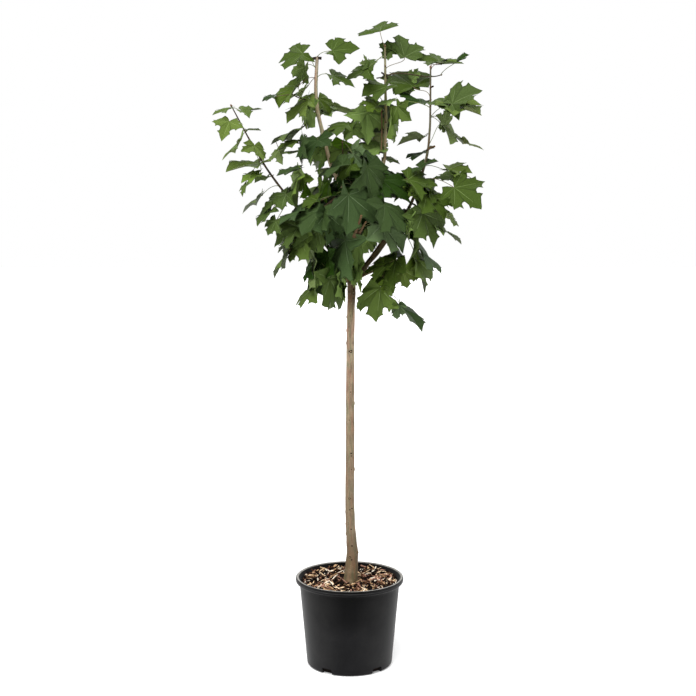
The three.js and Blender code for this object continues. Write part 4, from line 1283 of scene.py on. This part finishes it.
# painted sheen: the base colour lightens towards both flanks at ±X and stays dark in front and behind, mottled by the
# same noise as the dust
flank = nt.nodes.new("ShaderNodeMath")
flank.operation = "ABSOLUTE"
nt.links.new(sep.outputs["X"], flank.inputs[0])
mr = nt.nodes.new("ShaderNodeMapRange")
mr.inputs["From Min"].default_value = 0.015
mr.inputs["From Max"].default_value = 0.110
nt.links.new(flank.outputs[0], mr.inputs["Value"])
painted_side_sheen = ramp(nt, mr.outputs["Result"], [(0.0, (0.0,) * 3), (0.45, (0.16,) * 3), (1.0, (0.30,) * 3)])
c3 = mix(nt, painted_side_sheen, c3, ramp(nt, dust_and_sheen_noise, [(0.3, lin(44, 44, 45)), (0.7, lin(62, 61, 60))]))
nt.links.new(c3, p.inputs["Base Color"])
rr = nt.nodes.new("ShaderNodeMapRange")
rr.inputs["To Min"].default_value = 0.34
rr.inputs["To Max"].default_value = 0.50
nt.links.new(dust_and_sheen_noise, rr.inputs["Value"])
nt.links.new(rr.outputs["Result"], p.inputs["Roughness"])
bump(nt, p, fine, 0.15, 0.0006)

# painted highlight: a lighter, mottled grey on the lip's top and inner edge, for the light that glances off it
lip_highlight_mat = material("pot_lip_painted_highlight", lin(70, 70, 71), 0.42, 0.3)
nt, p = nodes_of(lip_highlight_mat)
nt.links.new(
    ramp(nt, tex_noise(nt, 60.0, 8.0, 0.7), [(0.3, lin(84, 83, 80)), (0.7, lin(140, 137, 130))]), p.inputs["Base Color"]
)
bump(nt, p, tex_noise(nt, 420.0, 3.0, 0.6), 0.15, 0.0006)
# painted highlight: a faint lighter band round the rim's widest girth
rim_highlight_mat = material("pot_rim_painted_highlight", lin(34, 34, 35), 0.45, 0.1)
nt, p = nodes_of(rim_highlight_mat)
nt.links.new(
    ramp(nt, tex_noise(nt, 60.0, 8.0, 0.7), [(0.3, lin(22, 22, 23)), (0.7, lin(46, 46, 46))]), p.inputs["Base Color"]
)
# rows on the lip's top and inner edge take the painted lip highlight, and rows at the rim's widest girth the fainter
# painted highlight
painted_highlight_rows = []
for a, b in zip(inner[:-1], inner[1:]):
    top = min(a[1], b[1]) > 229.5 and max(a[0], b[0]) < 138.0
    painted_highlight_rows.append(1 if top else 2 if min(a[0], b[0]) > 139.85 else 0)
pot.add(verts, quads, np.repeat(np.array([pot.slot(pot_mat), pot.slot(lip_highlight_mat), pot.slot(rim_highlight_mat)])[painted_highlight_rows], SEG))
k = np.arange(SEG)
pot.more(np.stack([np.full(SEG, n * SEG), (k + 1) % SEG, k], 1), pot_mat, False, len(verts))
e = (n - 1) * SEG
pot.more(np.stack([np.full(SEG, n * SEG + 1), e + k, e + (k + 1) % SEG], 1), pot_mat, False, len(verts))
pot_ob = pot.build(slot="pot_plastic", replaces=["pot"])

# drainage cut-outs round the bottom edge
cut_me = bpy.data.meshes.new("cutters")
cv, cf = [], []
for k in range(5):
    a = math.radians(-32 + 72 * k)
    outline = []
    wide, high, rnd = 17.0, 15.5, 4.0
    for x, z, q in ((-wide, -12, None), (wide, -12, None)):
        outline.append((x, z))
    for j in range(6):
        t = j / 5 * math.pi / 2
        outline.append((wide * 0.86 - rnd + rnd * math.cos(t), high - rnd + rnd * math.sin(t)))
    for j in range(6):
        t = math.pi / 2 + j / 5 * math.pi / 2
        outline.append((-wide * 0.86 + rnd + rnd * math.cos(t), high - rnd + rnd * math.sin(t)))
    m = len(outline)
    b0 = len(cv)
    for r in (125.0, 95.0):
        for x, z in outline:
            cv.append(((x * math.cos(a) + r * math.sin(a)) * MM, (x * math.sin(a) - r * math.cos(a)) * MM, z * MM))
    cf.append(tuple(b0 + j for j in range(m)))
    cf.append(tuple(b0 + m + j for j in reversed(range(m))))
    for j in range(m):
        j2 = (j + 1) % m
        cf.append((b0 + j, b0 + m + j, b0 + m + j2, b0 + j2))
cut_me.from_pydata(cv, [], cf)
cut_me.materials.append(pot_mat)
cut_ob = bpy.data.objects.new("cutters", cut_me)
scene.collection.objects.link(cut_ob)
mod = pot_ob.modifiers.new("notches", "BOOLEAN")
mod.operation = "DIFFERENCE"
mod.solver = "EXACT"
mod.object = cut_ob
bpy.context.view_layer.update()
cut = bpy.data.meshes.new_from_object(pot_ob.evaluated_get(bpy.context.evaluated_depsgraph_get()))
pot_ob.modifiers.clear()
pot_ob.data = cut
bpy.data.objects.remove(cut_ob)
cut.set_sharp_from_angle(angle=math.radians(38))

# ------------------------------------------------------------------ soil and mulch
soil_mat = material("soil", tint((22, 13, 8)), 0.95, 0.1)
nt, p = nodes_of(soil_mat)
crumb = tex_noise(nt, 240.0, 8.0, 0.7)
nt.links.new(
    ramp(nt, crumb, [(0.3, tint((6, 3, 2))), (0.55, tint((20, 11, 6))), (0.78, tint((60, 36, 22)))]), p.inputs["Base Color"]
)
bump(nt, p, crumb, 0.9, 0.003)
root_mat = material("root_ball", tint((22, 16, 12)), 0.95, 0.1)
nt, p = nodes_of(root_mat)
nt.links.new(ramp(nt, tex_noise(nt, 200.0, 6.0), [(0.3, tint((12, 9, 7))), (0.7, tint((32, 24, 18)))]), p.inputs["Base Color"])
soil = Piece("soil")
rr_, tt_ = np.linspace(0, 127.0, 34), 96
ang = np.arange(tt_) * 2 * math.pi / tt_


def ground(x, y):
    """The soil's surface: lowest round the stem, heaped a little against the wall."""
    d = math.hypot(x, y)
    t = min(1.0, max(0.0, (d - 30) / 90))
    h = 212.0 + 7.0 * t * t * (3 - 2 * t) + 2.0 * math.exp(-(((x - 3.6) ** 2 + y * y) / 900.0))
    h += 2.4 * noise.noise(Vector((x * 0.035, y * 0.035, 3.0))) + 1.4 * noise.noise(Vector((x * 0.11, y * 0.11, 7.0)))
    return h


pts = [(0, 0, ground(0, 0))]
for r in rr_[1:]:
    for a in ang:
        x, y = r * math.cos(a), r * math.sin(a)
        pts.append((x, y, ground(x, y)))
low = len(pts)
for a in ang:
    pts.append((103 * math.cos(a), 103 * math.sin(a), 6.0))
pts.append((0, 0, 6.0))
f3 = [(0, 1 + k, 1 + (k + 1) % tt_) for k in range(tt_)]
soil.add(np.array(pts), f3, soil_mat)
i, k = np.meshgrid(np.arange(len(rr_) - 1), np.arange(tt_), indexing="ij")
k2 = (k + 1) % tt_
quads = np.stack([1 + i * tt_ + k, 1 + (i + 1) * tt_ + k, 1 + (i + 1) * tt_ + k2, 1 + i * tt_ + k2], -1)
soil.more(quads[:-1].reshape(-1, 4), soil_mat, True, len(pts))
soil.more(quads[-1], root_mat, False, len(pts))
k = np.arange(tt_)
soil.more(np.stack([np.full(tt_, len(pts) - 1), low + (k + 1) % tt_, low + k], 1), root_mat, False, len(pts))
soil.build(slot="mulch", replaces=["soil_and_mulch"])

# Shredded bark: long splinters, flakes, and crumbs between them.
chip_mats = []
for name, a, b, k in (
    ("chip_dark", (9, 4, 2), (38, 21, 12), 1.0), ("chip_brown", (70, 42, 26), (124, 86, 60), 1.0),
    ("chip_pink", (140, 98, 80), (196, 150, 130), 1.15), ("chip_tan", (176, 136, 98), (222, 186, 144), 1.2),
    ("chip_straw", (222, 188, 148), (250, 226, 190), 1.4), ("chip_cream", (244, 224, 196), (255, 248, 232), 1.4),
):
    m = material(name, tint([(x + y) // 2 for x, y in zip(a, b)], k), 0.9, 0.1)
    nt, p = nodes_of(m)
    grain = tex_noise(nt, 130.0, 6.0, 0.65)
    nt.links.new(ramp(nt, grain, [(0.3, tint(a, k)), (0.7, tint(b, k))]), p.inputs["Base Color"])
    bump(nt, p, grain, 0.7, 0.0016)
    chip_mats.append(m)
chips = Piece("mulch_chips")
rng = random.Random(90)
CHIP = np.array([(-1, -0.5), (-0.5, -1.1), (0.45, -0.95), (1, -0.4), (0.92, 0.35), (0.4, 1.0), (-0.5, 1.05), (-1.1, 0.2)])
STRIP = np.array([(-1.1, -0.1), (-0.55, -0.8), (0.15, -1.0), (0.7, -0.5), (1.15, 0.05), (0.45, 0.7), (-0.2, 1.0), (-0.75, 0.5)])


def chip(x, y, kind):
    inside = math.hypot(x - 3.8, y) < rng.uniform(38, 62)  # darker round the stem
    if kind == "strip":
        long_, wide, thick = rng.uniform(16, 40), rng.uniform(1.9, 4.0), rng.uniform(1.0, 2.2)
        m, plan, lean = rng.choice([0, 0, 0, 1, 1, 2, 3] if inside else [5, 5, 4, 4, 3, 3, 2, 1, 0, 0, 0]), STRIP, 0.6
    elif kind == "flake":
        long_, wide, thick = rng.uniform(7, 16), rng.uniform(3.6, 8), rng.uniform(1.2, 2.6)
        m, plan, lean = rng.choice([0, 0, 0, 0, 1] if inside else [3, 2, 1, 1, 0, 0, 0]), CHIP, 0.8
    else:
        long_, wide, thick = rng.uniform(3.5, 8), rng.uniform(1.4, 3.6), rng.uniform(1.0, 2.2)
        m, plan, lean = rng.choice([0, 0, 0, 0, 1, 2, 4] if inside else [0, 0, 0, 0, 1, 2, 4, 5]), CHIP, 0.9
    turn = rng.uniform(0, 2 * math.pi)
    d = unit([math.cos(turn), math.sin(turn), rng.uniform(-lean, lean)])
    up = unit(np.array([rng.uniform(-0.6, 0.6), rng.uniform(-0.6, 0.6), 1.0]))
    s = unit(np.cross(up, d))
    up = np.cross(d, s)
    mid = np.array([x, y, ground(x, y) + thick * 0.4 + abs(d[2]) * long_ * 0.34 + rng.uniform(0, 3.5)])
    flat = plan * np.array([long_, wide]) * 0.5 * np.array([[rng.uniform(0.7, 1.15), rng.uniform(0.6, 1.2)] for _ in plan])
    curve = rng.uniform(-0.16, 0.16) * long_
    lay = []
    for lift, grow in ((-0.5, 0.92), (0.4, 1.0), (0.6, 0.7)):
        for px, py in flat:
            z = thick * lift + curve * (px / (long_ * 0.5)) ** 2 + rng.uniform(-0.15, 0.15) * thick
            lay.append(mid + d * px * grow + s * py * grow + up * z)
    lay.append(mid + up * thick * 0.66)
    lay.append(mid - up * thick * 0.5)
    lay = np.array(lay)
    # inside the wall, off the stem and not above the rim
    if np.hypot(lay[:, 0], lay[:, 1]).max() > 127.0 or lay[:, 2].max() > 231.0:
        return
    if np.hypot(lay[:, 0] - 3.8, lay[:, 1]).min() < 18.5:
        return
    k = np.arange(8)
    k2 = (k + 1) % 8
    mt = chip_mats[m]
    chips.add(lay, np.vstack([np.stack([k, k2, 8 + k2, 8 + k], 1), np.stack([8 + k, 8 + k2, 16 + k2, 16 + k], 1)]), mt, False)
    chips.more(np.vstack([np.stack([16 + k, 16 + k2, np.full(8, 24)], 1), np.stack([k2, k, np.full(8, 25)], 1)]), mt, False, len(lay))


for kind, count in (("crumb", 900), ("flake", 420), ("strip", 520)):
    for _ in range(count):
        rad, a = 125.0 * math.sqrt(rng.random()), rng.uniform(0, 2 * math.pi)
        x, y = rad * math.cos(a), rad * math.sin(a)
        # bare dark hollows between the heaps
        if noise.noise(Vector((x * 0.07, y * 0.05, 21.0))) > -0.22 or kind == "crumb" and rng.random() < 0.4:
            chip(x, y, kind)
chips.build(slot="mulch")

# ------------------------------------------------------------------ floor and light
floor_me = bpy.data.meshes.new("floor")
floor_me.from_pydata([(-14, -14, 0), (14, -14, 0), (14, 14, 0), (-14, 14, 0)], [], [(0, 1, 2, 3)])
floor = bpy.data.objects.new("floor", floor_me)
floor_mat = material("floor", (0.86, 0.86, 0.86), 0.9, 0.1)
floor_mat.node_tree.nodes["Principled BSDF"].inputs["Emission Color"].default_value = (1, 1, 1, 1)
floor_mat.node_tree.nodes["Principled BSDF"].inputs["Emission Strength"].default_value = 0.14
floor.data.materials.append(floor_mat)
scene.collection.objects.link(floor)

world = bpy.data.worlds.new("studio")
scene.world = world
world.use_nodes = True
# a white backdrop; the light itself comes mostly from above
nt = world.node_tree
bg = nt.nodes["Background"]
bg.inputs["Color"].default_value = (1.0, 1.0, 1.0, 1)
bg.inputs["Strength"].default_value = 1.0
dome = nt.nodes.new("ShaderNodeBackground")
tc = nt.nodes.new("ShaderNodeTexCoord")
sep = nt.nodes.new("ShaderNodeSeparateXYZ")
nt.links.new(tc.outputs["Generated"], sep.inputs[0])
mr = nt.nodes.new("ShaderNodeMapRange")
mr.inputs["From Min"].default_value = -1.0
nt.links.new(sep.outputs["Z"], mr.inputs["Value"])
nt.links.new(ramp(nt, mr.outputs["Result"], [(0.40, (0.30,) * 3), (0.55, (0.45,) * 3), (1.0, (0.95,) * 3)]), dome.inputs["Color"])
path = nt.nodes.new("ShaderNodeLightPath")
both = nt.nodes.new("ShaderNodeMixShader")
nt.links.new(path.outputs["Is Camera Ray"], both.inputs[0])
nt.links.new(dome.outputs[0], both.inputs[1])
nt.links.new(bg.outputs[0], both.inputs[2])
nt.links.new(both.outputs[0], nt.nodes["World Output"].inputs["Surface"])


sun_data = bpy.data.lights.new("key", "SUN")
sun_data.energy = 3.4
sun_data.angle = math.radians(44)
sun = bpy.data.objects.new("key", sun_data)
sun.rotation_euler = Vector((0.25, 0.62, -1.0)).to_track_quat("-Z", "Y").to_euler()
scene.collection.objects.link(sun)
fill_data = bpy.data.lights.new("fill", "SUN")
fill_data.energy = 1.3
fill_data.angle = math.radians(70)
fill = bpy.data.objects.new("fill", fill_data)
fill.rotation_euler = Vector((-0.35, -0.9, -0.62)).to_track_quat("-Z", "Y").to_euler()
scene.collection.objects.link(fill)

scene.view_settings.view_transform = "Standard"
scene.view_settings.look = "None"

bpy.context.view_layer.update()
print("leaves", len(placed), "traced", seen_count, "triangles", {g: p.triangles() for g, p in leaf_pieces.items()},
      "stalks", stalks.triangles(), "twigs", twigs.triangles(), "chips", chips.triangles())
